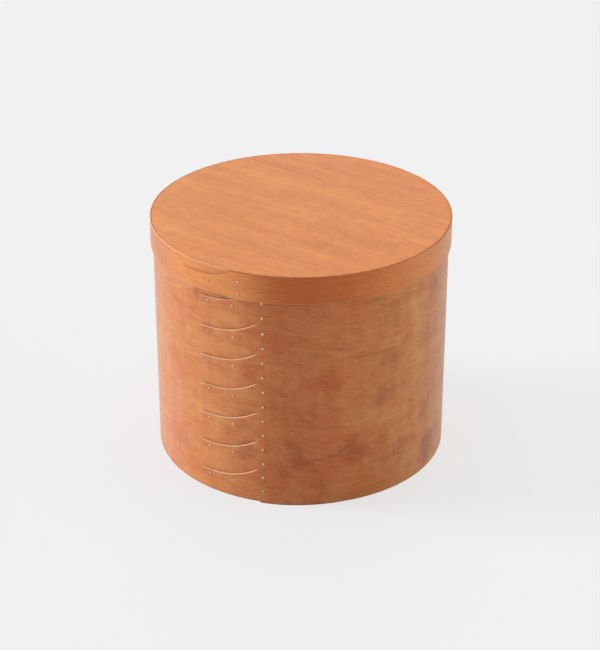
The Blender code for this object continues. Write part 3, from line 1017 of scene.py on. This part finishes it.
# %% The wall of the box
GRAIN_FALL, FALL_ALONG = 0.015, (0.075, 0.075)
WALL_RING_SPACING = 0.0068
PAST_FINGERS = (0.039, 0.045)
RIGHT_SIDE = (0.17, 0.12)
BACK_RIGHT, BACK_LEFT = (0.265, 0.03), (-0.09, 0.03)
WALL_SHEEN_SIDES = (0.220, -0.050)
WALL_TONE = 0.64
LINE_SHARE = 0.85
SMOKE_SHARE = 0.78
STAIN_SHARE = 0.8
DIRT_AND_SHADE_SHARE = 0.58
GAP_SHADE_SHARE = 0.28
INSIDE_PALER = 0.30
GAP_SHADE, GAP_SOFT, GAP_START = 0.0062, 0.002, (0.008, 0.02)
FOOT_SHADE = 0.0016
COVERED_RUN = 0.0015

# Each painted light tint: from where to where, how softly it ends, and its colour. The first is the cool
# daylight left of the lap, the second the cooler light on the right.
WALL_LIGHT_TINTS = (
    (-0.200, 0.000, 0.080, (0.97, 1.00, 1.32)),
    (0.150, 0.260, 0.035, (0.99, 1.14, 1.17)),
)


def wall_finish():
    made, tree = new_finish("cherry wall")
    along, x, z, depth, under = strip_place(tree, box_strip)
    near = near_side(x)
    fall = smooth(ramp(x, *FALL_ALONG)) * GRAIN_FALL * near
    grain = Cherry(tree, tree.vector(along, z + fall, depth))
    past_fingers = smooth(ramp(x, *PAST_FINGERS)) * near
    right = smooth(ramp(x, *RIGHT_SIDE)) * near
    covered = ramp(z, lid_low.z, COVERED_RUN)
    clouds = grain.clouds()
    tone = clouds * (right * 0.2 + 0.35) + WALL_TONE - past_fingers * 0.30 + right * 0.35 + covered * 0.2
    colour, relief = base_wood(tree, grain, tone + spotted(x, z, grain, FIGURE) * 0.55)
    # Painted sheen greys the sides of the wall where they turn away.
    colour = greyed_by_sheen(tree, x, colour, *WALL_SHEEN_SIDES)
    # Painted light: the cool daylight left of the lap and the cooler light on the right.
    colour = tinted_by_light(tree, x, colour, WALL_LIGHT_TINTS)
    far = ramp(x, *BACK_RIGHT) + ramp_down(x, *BACK_LEFT)
    lines = drawn_rings(x, z, grain) + grain.rings(WALL_RING_SPACING, 0.9) * (0.28 + far * 0.5)
    colour = tree.mix(lines.clip() * LINE_SHARE, colour, CHERRY_RING)
    smoke = spotted(x, z, grain, SMOKY_SPOTS) + (clouds - 0.42).clip() * 1.2 * past_fingers
    colour = tree.mix(smoke.clip() * SMOKE_SHARE, colour, CHERRY_SMOKE, "MULTIPLY")
    roughness, inside = strip_roughness(depth, BOX_THICKNESS, clouds)
    outside = 1 - inside
    rung = finger_rung(x, z)
    stain = (tip_stain(x, z, rung, grain) * outside).clip() * STAIN_SHARE
    colour = tree.mix(stain, colour, CHERRY_SMOKE, "MULTIPLY")
    # Dirt round the fingers, with painted shade under the lid, in the gap where the layer below steps back,
    # and at the foot.
    foot = (1 - (z - box_low.z) / FOOT_SHADE).clip()
    joint = joint_dirt_and_shade(x, z, rung) * under * 0.75 + lid_shade(x, z) * (1 - covered) * 0.7 + foot
    gap = ((z - lid_low.z + GAP_SHADE) / GAP_SOFT).clip() * (1 - covered)
    joint = joint.clip() * DIRT_AND_SHADE_SHARE + gap * (under * ramp(x, *GAP_START)) * GAP_SHADE_SHARE
    colour = tree.mix(joint * outside, colour, DIRT_AND_SHADE_DARK)
    # Dust and painted shade round the tacks.
    colour = tree.mix(wall_dust_and_shade(x, z, rung) * outside * DUST_AND_SHADE_SHARE, colour, DIRT_AND_SHADE_DARK)
    colour = tree.mix(inside * INSIDE_PALER, colour, CHERRY_PALE)
    # Cut edges: painted shade on the lower edges of the fingers, pale wood with a painted highlight above.
    edge, outer = edge_shares(depth, BOX_THICKNESS)
    pared, shown = wall_edge(tree, along, rung, outer)
    colour = tree.mix(edge * shown, colour, pared)
    finish_wood(tree, colour, roughness + (EDGE_ROUGHNESS - roughness) * edge, relief - lines * 0.5)
    return made


cherry_wall = wall_finish()
print("made", cherry_wall.name)

# %% [markdown]
# The rim is the same wood with straighter grain. It is pale in its finger and a strong orange past it; to
# its left the cool daylight is painted in as a pinker tint. Its top is planed with the board, so only the
# arris
# draws a line: left of the lap it carries a painted pale highlight, and from the root of the finger on it is
# a dark thread. Below, the edge has a painted orange highlight, where light from the floor catches it, and
# the layer below has a cool painted shade where it shows above the finger.

# %% The rim of the lid
RIM_PALE = (0.88, 0.305, 0.072)
RIM_DEEP = (0.63, 0.130, 0.009)
RIM_TOP = (0.72, 0.225, 0.050)
RIM_ARRIS = (0.25, 0.070, 0.014)
RIM_JOINT = (0.44, 0.160, 0.058)
RIM_JOINT_TIP = (0.74, 0.32, 0.125)
# Painted shade, a cool tint, on the layer below where it shows above the finger.
RIM_UNDER_SHADE = (0.90, 0.96, 1.12)
LID_TIP_TACK, LID_MIDDLE_TACK = 0.0085, 0.0347
LID_TACK_ABOVE_EDGE = 0.0066
LID_TACK_BELOW_BOARD = 0.0034
# Painted highlight: the orange that the lower edge shows where light from the floor catches it.
RIM_LOWER_HIGHLIGHT = (0.90, 0.400, 0.130)
LOWER_HIGHLIGHT_HEIGHT = 0.0011
RIM_TONE = 0.28
FINGER_PALER, FRONT_DEEPER = 0.66, 0.88
LEFT_RUN, STEP_RUN, TIP_RUN = 0.012, 0.016, 0.045
RIM_STREAKY, RIM_MOTTLED = 0.30, 0.10
RIM_FINGER = (-0.045, 0.06)
RIM_FRONT, RIM_FRONT_END = (0.0655, 0.0475), (0.15, 0.10)
RIM_SHEEN_SIDES = (0.268, -0.020)
RIM_RING_SPACING = 0.0062
RING_SHARE = 0.30
CUT_SHARE = 0.85
CUT_START = 0.30
# The cool daylight on the left of the rim, painted in as a tint.
RIM_LIGHT_TINTS = ((-0.200, 0.005, 0.035, (0.95, 1.10, 1.45)),)


def rim_dust_and_shade(x, z):
    """The dust and painted shade round the four tacks of the lid."""
    on_finger = tack_dust_and_shade(nearer_of(x, LID_TIP_TACK, LID_MIDDLE_TACK), z - lid_middle)
    low, high = lid_low.z + LID_TACK_ABOVE_EDGE, panel_low.z - LID_TACK_BELOW_BOARD
    up = (z - (low + high) / 2).apply("ABSOLUTE") - (high - low) / 2
    return on_finger.apply("MAXIMUM", tack_dust_and_shade(x - LID_ROOT_TACK, up))


def rim_finish():
    made, tree = new_finish("cherry rim")
    along, x, z, depth, under = strip_place(tree, lid_strip)
    grain = Cherry(tree, tree.vector(along, z, depth), 0.37)
    clouds = grain.clouds()
    near = near_side(x)
    finger = smooth(ramp(x, *RIM_FINGER)) * near
    front = smooth(ramp(x, *RIM_FRONT)) * (1 - smooth(ramp(x, *RIM_FRONT_END)) * 0.75) * near
    tone = clouds * 0.12 + RIM_TONE + finger * FINGER_PALER - front * FRONT_DEEPER
    colour, relief = base_wood(tree, grain, tone, RIM_PALE, RIM_DEEP, RIM_STREAKY, RIM_MOTTLED)
    # Painted sheen greys the sides of the rim where they turn away.
    colour = greyed_by_sheen(tree, x, colour, *RIM_SHEEN_SIDES)
    # Painted light: the cool daylight left of the lap.
    colour = tinted_by_light(tree, x, colour, RIM_LIGHT_TINTS)
    rings = grain.rings(RIM_RING_SPACING, 0.5)
    colour = tree.mix(rings * RING_SHARE, colour, CHERRY_RING)
    roughness, inside = strip_roughness(depth, LID_THICKNESS, clouds)
    # Dust and painted shade round the tacks.
    colour = tree.mix(rim_dust_and_shade(x, z) * (1 - inside) * DUST_AND_SHADE_SHARE, colour, DIRT_AND_SHADE_DARK)
    # Painted shade on the layer below, above the finger.
    under_layer_shade = under * (x / STEP_RUN).clip() * (1 - inside)
    colour = tree.mix(under_layer_shade, colour, RIM_UNDER_SHADE, "MULTIPLY")
    colour = tree.mix(inside * INSIDE_PALER, colour, CHERRY_PALE)
    edge, outer = edge_shares(depth, LID_THICKNESS)
    _, dark_outer = edge_shares(depth, LID_THICKNESS, CUT_START)
    top = z.apply("GREATER_THAN", lid_high.z - ARRIS)
    bottom = z.apply("LESS_THAN", lid_low.z + ARRIS)
    left_of_lap = (ramp_down(x, LID_FINGER_LENGTH, LEFT_RUN) + 1 - near).clip()
    cut = tree.mix(dark_outer * (1 - left_of_lap) * CUT_SHARE, RIM_TOP, RIM_ARRIS)
    # A painted pale highlight on the arris left of the lap.
    cut = tree.mix(outer * left_of_lap * CUT_SHARE, cut, PALE_CUT_AND_HIGHLIGHT)
    joint = tree.mix((x / TIP_RUN).clip(), RIM_JOINT_TIP, RIM_JOINT)
    cut = tree.mix(top, joint, cut)
    # A painted orange highlight on the lower edge.
    cut = tree.mix(bottom, cut, RIM_LOWER_HIGHLIGHT)
    colour = tree.mix(edge * 0.9, colour, cut)
    # The painted orange highlight runs a little up the face above the lower edge.
    colour = tree.mix((1 - (z - lid_low.z) / LOWER_HIGHLIGHT_HEIGHT).clip() * 0.5, colour, RIM_LOWER_HIGHLIGHT)
    finish_wood(tree, colour, roughness + (EDGE_ROUGHNESS - roughness) * edge, relief - rings * 0.4)
    return made


cherry_rim = rim_finish()
print("made", cherry_rim.name)

# %% [markdown]
# The boards are sawn flat, so their grain runs straight across. The lid's board lies with its grain
# slanting down to the right; the bottom board is turned another way. The cool daylight is painted in on
# the left of each as a tint.

# %% The boards
TOP_GRAIN_TURN = math.radians(-35)
BOTTOM_GRAIN_TURN = math.radians(20)
BOARD_PALE = (0.77, 0.258, 0.042)
BOARD_DEEP = (0.51, 0.102, 0.011)
BOARD_TONE = 0.67
BOARD_STREAKY, BOARD_MOTTLED = 0.58, 0.27
BOARD_RING_SPACING = 0.019
# The cool daylight on the left of each board, painted in as a tint.
BOARD_LIGHT_TINTS = ((-0.250, -0.085, 0.050, (1.02, 1.08, 1.35)),)


def board_finish(name, turn, seed, roughness):
    made, tree = new_finish(name)
    place = tree.node("ShaderNodeTexCoord", output="Object")
    turned = tree.node("ShaderNodeMapping", {"Vector": place, "Rotation": (0.0, 0.0, -turn)})
    grain = Cherry(tree, turned, seed)
    clouds = grain.clouds()
    tone = clouds * 0.14 + BOARD_TONE
    colour, relief = base_wood(tree, grain, tone, BOARD_PALE, BOARD_DEEP, BOARD_STREAKY, BOARD_MOTTLED)
    rings = grain.rings(BOARD_RING_SPACING, 1.2)
    colour = tree.mix(rings * RING_SHARE, colour, CHERRY_RED)
    # Painted light: the cool daylight on the board's left.
    colour = tinted_by_light(tree, place.parts()[0], colour, BOARD_LIGHT_TINTS)
    finish_wood(tree, colour, roughness + clouds * 0.05, relief, 0.0)
    return made


cherry_top = board_finish("cherry top", TOP_GRAIN_TURN, 0.61, OIL_ROUGHNESS)
cherry_floor = board_finish("cherry floor", BOTTOM_GRAIN_TURN, 1.9, INSIDE_ROUGHNESS)
print("made", cherry_top.name, "and", cherry_floor.name)

# %% [markdown]
# Copper tacks are rubbed bright on the crown and stay dark round the skirt, where no cloth reaches; that
# dark also stands for painted shade round the head. Each head is hammered, so its gloss is uneven. The pegs
# are split from the same cherry and trimmed flush, so only their end grain shows.

# %% Copper
TACK_HEAD = 0.0032
TACK_RISE = 0.0005
COPPER_BRIGHT = (1.0, 0.52, 0.285)
COPPER_DULL = (0.58, 0.27, 0.150)
# Dark tarnish round the skirt, and painted shade round the head.
COPPER_DARK_AND_SHADE = (0.12, 0.045, 0.020)
DULL_FROM = 0.42
SKIRT_START, SKIRT_SLOPE = 0.78, 6.0
HAMMER_WAVES = 1300.0
PATINA_WAVES = 700.0
HAMMER_STRENGTH, HAMMER_DEPTH = 0.5, 0.0002


def copper_finish():
    made, tree = new_finish("copper")
    place = tree.node("ShaderNodeAttribute", attribute_name="own", output="Vector")
    x, y, z = place.parts()
    skirt = (((x * x + z * z).apply("SQRT") / (TACK_HEAD / 2) - SKIRT_START) * SKIRT_SLOPE).clip()
    skirt = skirt * y.apply("LESS_THAN", TACK_RISE * 0.5)
    patina = tree.noise(tree.node("ShaderNodeTexCoord", output="Object") * PATINA_WAVES, 3.0, 0.6)
    colour = tree.mix(((patina - DULL_FROM) * 3).clip(), COPPER_BRIGHT, COPPER_DULL)
    # The skirt is dark with tarnish and with painted shade.
    colour = tree.mix(skirt * 0.85, colour, COPPER_DARK_AND_SHADE)
    hammer = tree.noise(place * HAMMER_WAVES, 1.0, 0.5)
    dents = {"Height": hammer, "Strength": HAMMER_STRENGTH, "Distance": HAMMER_DEPTH}
    bump = tree.node("ShaderNodeBump", dents)
    metal = 1 - patina * 0.6
    sockets = {"Base Color": colour, "Metallic": metal, "Roughness": patina * 0.2 + 0.3, "Normal": bump}
    tree.node("ShaderNodeOutputMaterial", {"Surface": tree.node("ShaderNodeBsdfPrincipled", sockets)})
    return made


copper = copper_finish()
print("made", copper.name)

# %% Peg ends
PEG_PALE = (0.66, 0.200, 0.050)
PEG_DARK = (0.46, 0.120, 0.030)
PEG_HEART = 0.004
PEG_YEARS = 2600.0
PEG_FIBRE_WAVES = 5200.0


def peg_finish():
    made, tree = new_finish("cherry pegs")
    place = tree.node("ShaderNodeAttribute", attribute_name="own", output="Vector")
    x, _, z = place.parts()
    from_heart = (x + PEG_HEART) * (x + PEG_HEART) + z * z
    years = (from_heart.apply("SQRT") * PEG_YEARS).apply("FRACT")
    fibre = tree.noise(place * PEG_FIBRE_WAVES, 2.0, 0.6)
    colour = tree.mix((years ** 3.0 * 0.5 + (fibre - 0.4) * 0.8).clip(), PEG_PALE, PEG_DARK)
    finish_wood(tree, colour, fibre * 0.1 + 0.55, fibre)
    return made


peg_wood = peg_finish()
print("made", peg_wood.name)

# %% [markdown]
# ## The two hoops
#
# With the material ready, each flat strip goes through the bending tree and comes back as a hoop. Every
# piece is then put on the body that it rides on, in place of the nodes that it stands in for.

# %% Bend both strips
def dress(piece, body, slot, *nodes):
    """Puts a piece on its body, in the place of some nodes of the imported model."""
    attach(piece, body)
    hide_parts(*nodes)


box_hoop = bending(box_strip, cherry_wall).run(flat_strip(box_strip, "flat box strip"), "box_hoop")
lid_hoop = bending(lid_strip, cherry_rim).run(flat_strip(lid_strip, "flat lid strip"), "lid_hoop")
dress(soften(box_hoop), "box", "cherry_wall", "box_band")
dress(soften(lid_hoop), "lid", "cherry_rim", "lid_band")

# %% [markdown]
# ## Boards
#
# A turned board is a profile carried round the axis. Its arrises are rounded the least bit, and it fits
# its hoop closely enough that the joint is only a fine line.

# %% Turn the boards
BOARD_SEAM = 0.0001
BOARD_ARRIS = 0.0003
BOARD_SIDES = 256
BOARD_RINGS = 6
ARRIS_STEPS = 3


def turned_board(name, radius, low, high, material):
    """A disc with rounded arrises, from a profile carried round the axis."""
    profile = [(radius * k / BOARD_RINGS, low) for k in range(1, BOARD_RINGS)]
    for z, start in ((low, -math.pi / 2), (high, 0.0)):
        centre = (radius - BOARD_ARRIS, z + math.copysign(BOARD_ARRIS, (low + high) / 2 - z))
        for k in range(ARRIS_STEPS + 1):
            turn = start + k / ARRIS_STEPS * math.pi / 2
            step = (BOARD_ARRIS * math.cos(turn), BOARD_ARRIS * math.sin(turn))
            profile.append((centre[0] + step[0], centre[1] + step[1]))
    profile += [(radius * k / BOARD_RINGS, high) for k in range(BOARD_RINGS - 1, 0, -1)]
    work = bmesh.new()
    loops = []
    for r, z in profile:
        turns = [k / BOARD_SIDES * 2 * math.pi for k in range(BOARD_SIDES)]
        loops.append([work.verts.new((r * math.sin(t), -r * math.cos(t), z)) for t in turns])
    for inner, outer in zip(loops, loops[1:]):
        for k in range(BOARD_SIDES):
            after = (k + 1) % BOARD_SIDES
            work.faces.new((inner[k], inner[after], outer[after], outer[k]))
    for loop, z in ((loops[0], low), (loops[-1], high)):
        pole = work.verts.new((0, 0, z))
        for k in range(BOARD_SIDES):
            work.faces.new((loop[k], loop[(k + 1) % BOARD_SIDES], pole))
    bmesh.ops.recalc_face_normals(work, faces=work.faces[:])
    mesh = as_mesh(work, name)
    mesh.materials.append(material)
    print(name, "radius in mm:", round(radius * 1000, 2))
    return soften(new_object(name, mesh))


bottom_radius = box_strip.radius - BOX_THICKNESS - BOARD_SEAM
panel_radius = lid_strip.radius - LID_THICKNESS - BOARD_SEAM
bottom_board = turned_board("bottom_board", bottom_radius, bottom_low.z, bottom_high.z, cherry_floor)
lid_panel = turned_board("lid_panel", panel_radius, panel_low.z, panel_high.z, cherry_top)
dress(bottom_board, "box", "cherry_floor", "box_bottom")
dress(lid_panel, "lid", "cherry_top", "lid_board")

# %% [markdown]
# ## Tacks
#
# A tack is driven through both layers onto an iron, which turns its point over inside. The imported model
# says where each stands: the crown of a tack is its point farthest from the axis, so a few lines find
# every place and turn. A tree then sets a low hammered dome there, with a shank that tapers and hooks.

# %% Where the tacks stand
TACK_CROWN = 0.0006
tack_names = [name for name in sorted(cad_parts) if name.startswith("tack_")]


def crown(node):
    """The point of a node that is farthest from the axis of the box."""
    points = [vertex.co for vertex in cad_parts[node].data.vertices]
    return max(points, key=lambda p: math.hypot(p.x, p.y))


def spots(names, name, sink):
    """A guide with one vertex per piece, on the wood, and the turn that faces it outwards."""
    mesh = bpy.data.meshes.new(name)
    places, turns = [], []
    for node in names:
        top = crown(node)
        turn = math.atan2(top.x, -top.y)
        radius = math.hypot(top.x, top.y) - sink
        places.append((radius * math.sin(turn), -radius * math.cos(turn), top.z))
        turns.append(turn)
    mesh.from_pydata(places, [], [])
    mesh.attributes.new("turn", "FLOAT", "POINT").data.foreach_set("value", turns)
    return new_object(name, mesh)


print("tacks in the packed model:", len(tack_names))

# %% The tack tree
TACK_SHANK = 0.0012
TACK_POINT = 0.0005
TACK_HOOK = 0.0026
HEAD_SEGMENTS, HEAD_RINGS = 20, 10
SHANK_SIDES, SHANK_STEPS = 8, 8
MOST_SWING = 0.5

# A Random Value node has sockets for every kind of value. These are the least, the most and the result.
LEAST, MOST, DRAWN = 2, 3, 1


def tacking(stack, towards, seed):
    values = {
        "Head diameter": TACK_HEAD, "Head rise": TACK_RISE, "Shank diameter": TACK_SHANK,
        "Point diameter": TACK_POINT, "Wood": stack, "Hook": towards * TACK_HOOK, "Seed": seed,
        "Material": copper,
    }
    tree = Shaper("clinched tack", values)
    half = tree["Head diameter"] * 0.5
    sizes = {"Segments": HEAD_SEGMENTS, "Rings": HEAD_RINGS, "Radius": half}
    ball = tree.node("GeometryNodeMeshUVSphere", sizes)
    flat = tree.vector(1.0, tree["Head rise"] / half, 1.0)
    dome = tree.node("GeometryNodeTransform", {"Geometry": ball, "Scale": flat})
    deep = tree["Wood"] + tree["Point diameter"] * 0.4
    bend = tree["Hook"].apply("ABSOLUTE") * 0.5
    hook = tree.node(
        "GeometryNodeCurveQuadraticBezier",
        {
            "Resolution": SHANK_STEPS,
            "Start": tree.vector(y=deep - bend),
            "Middle": tree.vector(y=deep),
            "End": tree.vector(tree["Hook"], deep),
        },
    )
    along = tree.node("GeometryNodeSplineParameter")
    thin = tree["Shank diameter"] * 0.5 * (1 - along) + tree["Point diameter"] * 0.5 * along
    hook = tree.node("GeometryNodeSetCurveRadius", {"Curve": hook, "Radius": thin})
    ring = tree.node("GeometryNodeCurvePrimitiveCircle", {"Resolution": SHANK_SIDES, "Radius": 1.0})
    hook = tree.node(
        "GeometryNodeCurveToMesh",
        {"Curve": hook, "Profile Curve": ring, "Scale": thin, "Fill Caps": True},
    )
    tack = tree.node("GeometryNodeJoinGeometry", {"Geometry": dome})
    tree.graph.links.new(hook.socket, tack.socket.node.inputs["Geometry"])
    return set_out(tree, tack)


def set_out(tree, item):
    """Ends a tree with a copy of an item at every spot, each turned to face outwards."""
    own = {"Geometry": item, "Name": "own", "Value": tree.node("GeometryNodeInputPosition")}
    item = tree.node("GeometryNodeStoreNamedAttribute", own, data_type="FLOAT_VECTOR")
    turn = tree.node("GeometryNodeInputNamedAttribute", {"Name": "turn"}, data_type="FLOAT")
    placed = tree.node(
        "GeometryNodeInstanceOnPoints",
        {"Points": tree["Geometry"], "Instance": item, "Rotation": tree.vector(z=turn)},
    )
    limits = {LEAST: -MOST_SWING, MOST: MOST_SWING, "Seed": tree["Seed"]}
    swing = tree.vector(y=tree.node("FunctionNodeRandomValue", limits, DRAWN, data_type="FLOAT"))
    placed = tree.node("GeometryNodeRotateInstances", {"Instances": placed, "Rotation": swing})
    tree.close(tree.node("GeometryNodeSetShadeSmooth", {"Geometry": placed}))
    return tree


for name, body, thickness, towards, seed in (
    ("box_tacks", "box", BOX_THICKNESS, 1, 4),
    ("lid_tacks", "lid", LID_THICKNESS, -1, 9),
):
    nodes = [node for node in tack_names if node.startswith("tack_lid") == (body == "lid")]
    tree = tacking(2 * thickness + LAP_GAP, towards, seed)
    tacks = tree.run(spots(nodes, name + " spots", TACK_CROWN), name)
    dress(tacks, body, "copper_tacks", *nodes)

# %% [markdown]
# ## Pegs
#
# The boards are held by tapered pegs through the bands. They are trimmed flush and sanded with the wall,
# so a peg shows as a small round of end grain. The tree is the plainest of the three: a cone, laid on its
# side, at each place.

# %% The peg tree
PEG_PROUD = 0.00004
PEG_DIAMETER = 0.002
PEG_TAPER = 0.8
PEG_LENGTH = 0.012
PEG_SIDES = 20


def pegging(seed):
    values = {
        "Diameter": PEG_DIAMETER, "Taper": PEG_TAPER, "Length": PEG_LENGTH, "Seed": seed,
        "Material": peg_wood,
    }
    tree = Shaper("trimmed peg", values)
    radius = tree["Diameter"] * 0.5
    cone = tree.node(
        "GeometryNodeMeshCone",
        {
            "Vertices": PEG_SIDES,
            "Radius Bottom": radius,
            "Radius Top": radius * tree["Taper"],
            "Depth": tree["Length"],
        },
    )
    laid = tree.node("GeometryNodeTransform", {"Geometry": cone, "Rotation": (-math.pi / 2, 0.0, 0.0)})
    return set_out(tree, laid)


for name, body, prefix, seed in (("box_pegs", "box", "peg_box_", 2), ("lid_pegs", "lid", "peg_lid_", 6)):
    nodes = [node for node in sorted(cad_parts) if node.startswith(prefix)]
    pegs = pegging(seed).run(spots(nodes, name + " spots", -PEG_PROUD), name)
    dress(pegs, body, "cherry_pegs", *nodes)

# %% [markdown]
# ## The stage
#
# A pale floor runs out past every view. The light is soft and comes mostly from above and from the left,
# a little behind the box, with a weaker light from the right. Nothing lights the front but the floor,
# which is why the wall is darkest where it faces us. Broad suns keep the floor even from edge to edge. The
# two low ones are kept out of the gloss, or the flat top would flare white when it is seen from a side.

# %% Floor and sky
FLOOR_RADIUS = 14.0
FLOOR_SIDES = 64
FLOOR_COLOUR = (0.90, 0.90, 0.90)
PALE = (0.882, 0.878, 0.866)
FLOOR_PAPER = 0.76
AMBIENT = 0.03


def pale_floor():
    """A disc that takes the object's shadow, and is part paper where it is seen."""
    work = bmesh.new()
    bmesh.ops.create_circle(work, cap_ends=True, segments=FLOOR_SIDES, radius=FLOOR_RADIUS)
    mesh = as_mesh(work, "floor")
    made, tree = new_finish("pale floor")
    lit = tree.node("ShaderNodeBsdfDiffuse", {"Color": (*FLOOR_COLOUR, 1.0)})
    paper = tree.node("ShaderNodeEmission", {"Color": (*PALE, 1.0), "Strength": 1.0})
    both = tree.node("ShaderNodeMixShader", {0: seen(tree) * FLOOR_PAPER, 1: lit, 2: paper})
    tree.node("ShaderNodeOutputMaterial", {"Surface": both})
    mesh.materials.append(made)
    new_object("floor", mesh)


def seen(tree):
    """1 where the camera looks, straight or by way of a gloss or a glass."""
    path = tree.node("ShaderNodeLightPath").socket.node.outputs
    direct, gloss, glass = (Wire(tree, path[f"Is {ray} Ray"]) for ray in ("Camera", "Glossy", "Transmission"))
    return direct.apply("MAXIMUM", gloss).apply("MAXIMUM", glass)


def sky():
    """Dim for the object, and as pale as the floor where it is seen."""
    world = bpy.data.worlds.new("studio")
    bpy.context.scene.world = world
    world.use_nodes = True
    tree = Tree(world.node_tree)
    dim = tree.node("ShaderNodeBackground", {"Color": (1.0, 1.0, 1.0, 1.0), "Strength": AMBIENT})
    pale = tree.node("ShaderNodeBackground", {"Color": (*PALE, 1.0), "Strength": 1.0})
    both = tree.node("ShaderNodeMixShader", {0: seen(tree), 1: dim, 2: pale})
    tree.node("ShaderNodeOutputWorld", {"Surface": both})


pale_floor()
sky()
print("floor radius in m:", FLOOR_RADIUS)

# %% Suns
DAYLIGHT = (0.90, 1.0, 1.26)
CLOUD_LIGHT = (0.97, 1.0, 1.05)
NEUTRAL = (1.0, 1.0, 1.0)
LOW_LAMP = 30.0

# Each sun: its azimuth, its height and its width in degrees, its strength and its colour.
SUNS = {
    "overhead": (0.0, 88.0, 60.0, 1.36, NEUTRAL),
    "back": (0.0, 45.0, 60.0, 0.61, NEUTRAL),
    "left": (-83.0, 16.0, 24.0, 3.1, DAYLIGHT),
    "right": (93.0, 21.0, 50.0, 0.91, CLOUD_LIGHT),
}


def sun(name, azimuth, height, width, strength, colour):
    """A soft sun. Azimuth 0 shines from behind the box, and grows towards the right."""
    lamp = bpy.data.lights.new(name, "SUN")
    lamp.energy = strength
    lamp.color = colour
    lamp.angle = math.radians(width)
    made = new_object(name, lamp)
    a, h = math.radians(azimuth), math.radians(height)
    towards = Vector((math.sin(a) * math.cos(h), math.cos(a) * math.cos(h), math.sin(h)))
    made.rotation_euler = towards.to_track_quat("Z", "Y").to_euler()
    made.visible_glossy = height > LOW_LAMP


for name, setting in SUNS.items():
    sun(name, *setting)
print("suns:", list(SUNS))

# %% [markdown]
# ## The camera
#
# The view was fitted to the picture: the ellipses of the lid and the foot, and the upright sides between
# them, give the height, the distance and the lens together. The picture is taller than wide, so Blender
# lays the sensor's width along its height.

# %% Camera
FRAME_HEIGHT_PIXELS = 650
FOCAL_PIXELS = 1888.7
SENSOR_WIDTH_MM = 36.0
CAMERA_DISTANCE = 1.9336
CAMERA_ELEVATION = math.radians(27.683)
AIM = Vector((-0.00097, 0.0, 0.12217))

lens = bpy.data.cameras.new("camera")
lens.sensor_width = SENSOR_WIDTH_MM
lens.lens = FOCAL_PIXELS / FRAME_HEIGHT_PIXELS * SENSOR_WIDTH_MM
camera = new_object("camera", lens)
back = Vector((0.0, -math.cos(CAMERA_ELEVATION), math.sin(CAMERA_ELEVATION)))
camera.location = AIM + back * CAMERA_DISTANCE
camera.rotation_euler = (math.pi / 2 - CAMERA_ELEVATION, 0.0, 0.0)
bpy.context.scene.camera = camera
bpy.context.scene.view_settings.view_transform = "Standard"
print("lens in mm:", round(lens.lens, 2), "camera at", [round(c, 3) for c in camera.location])
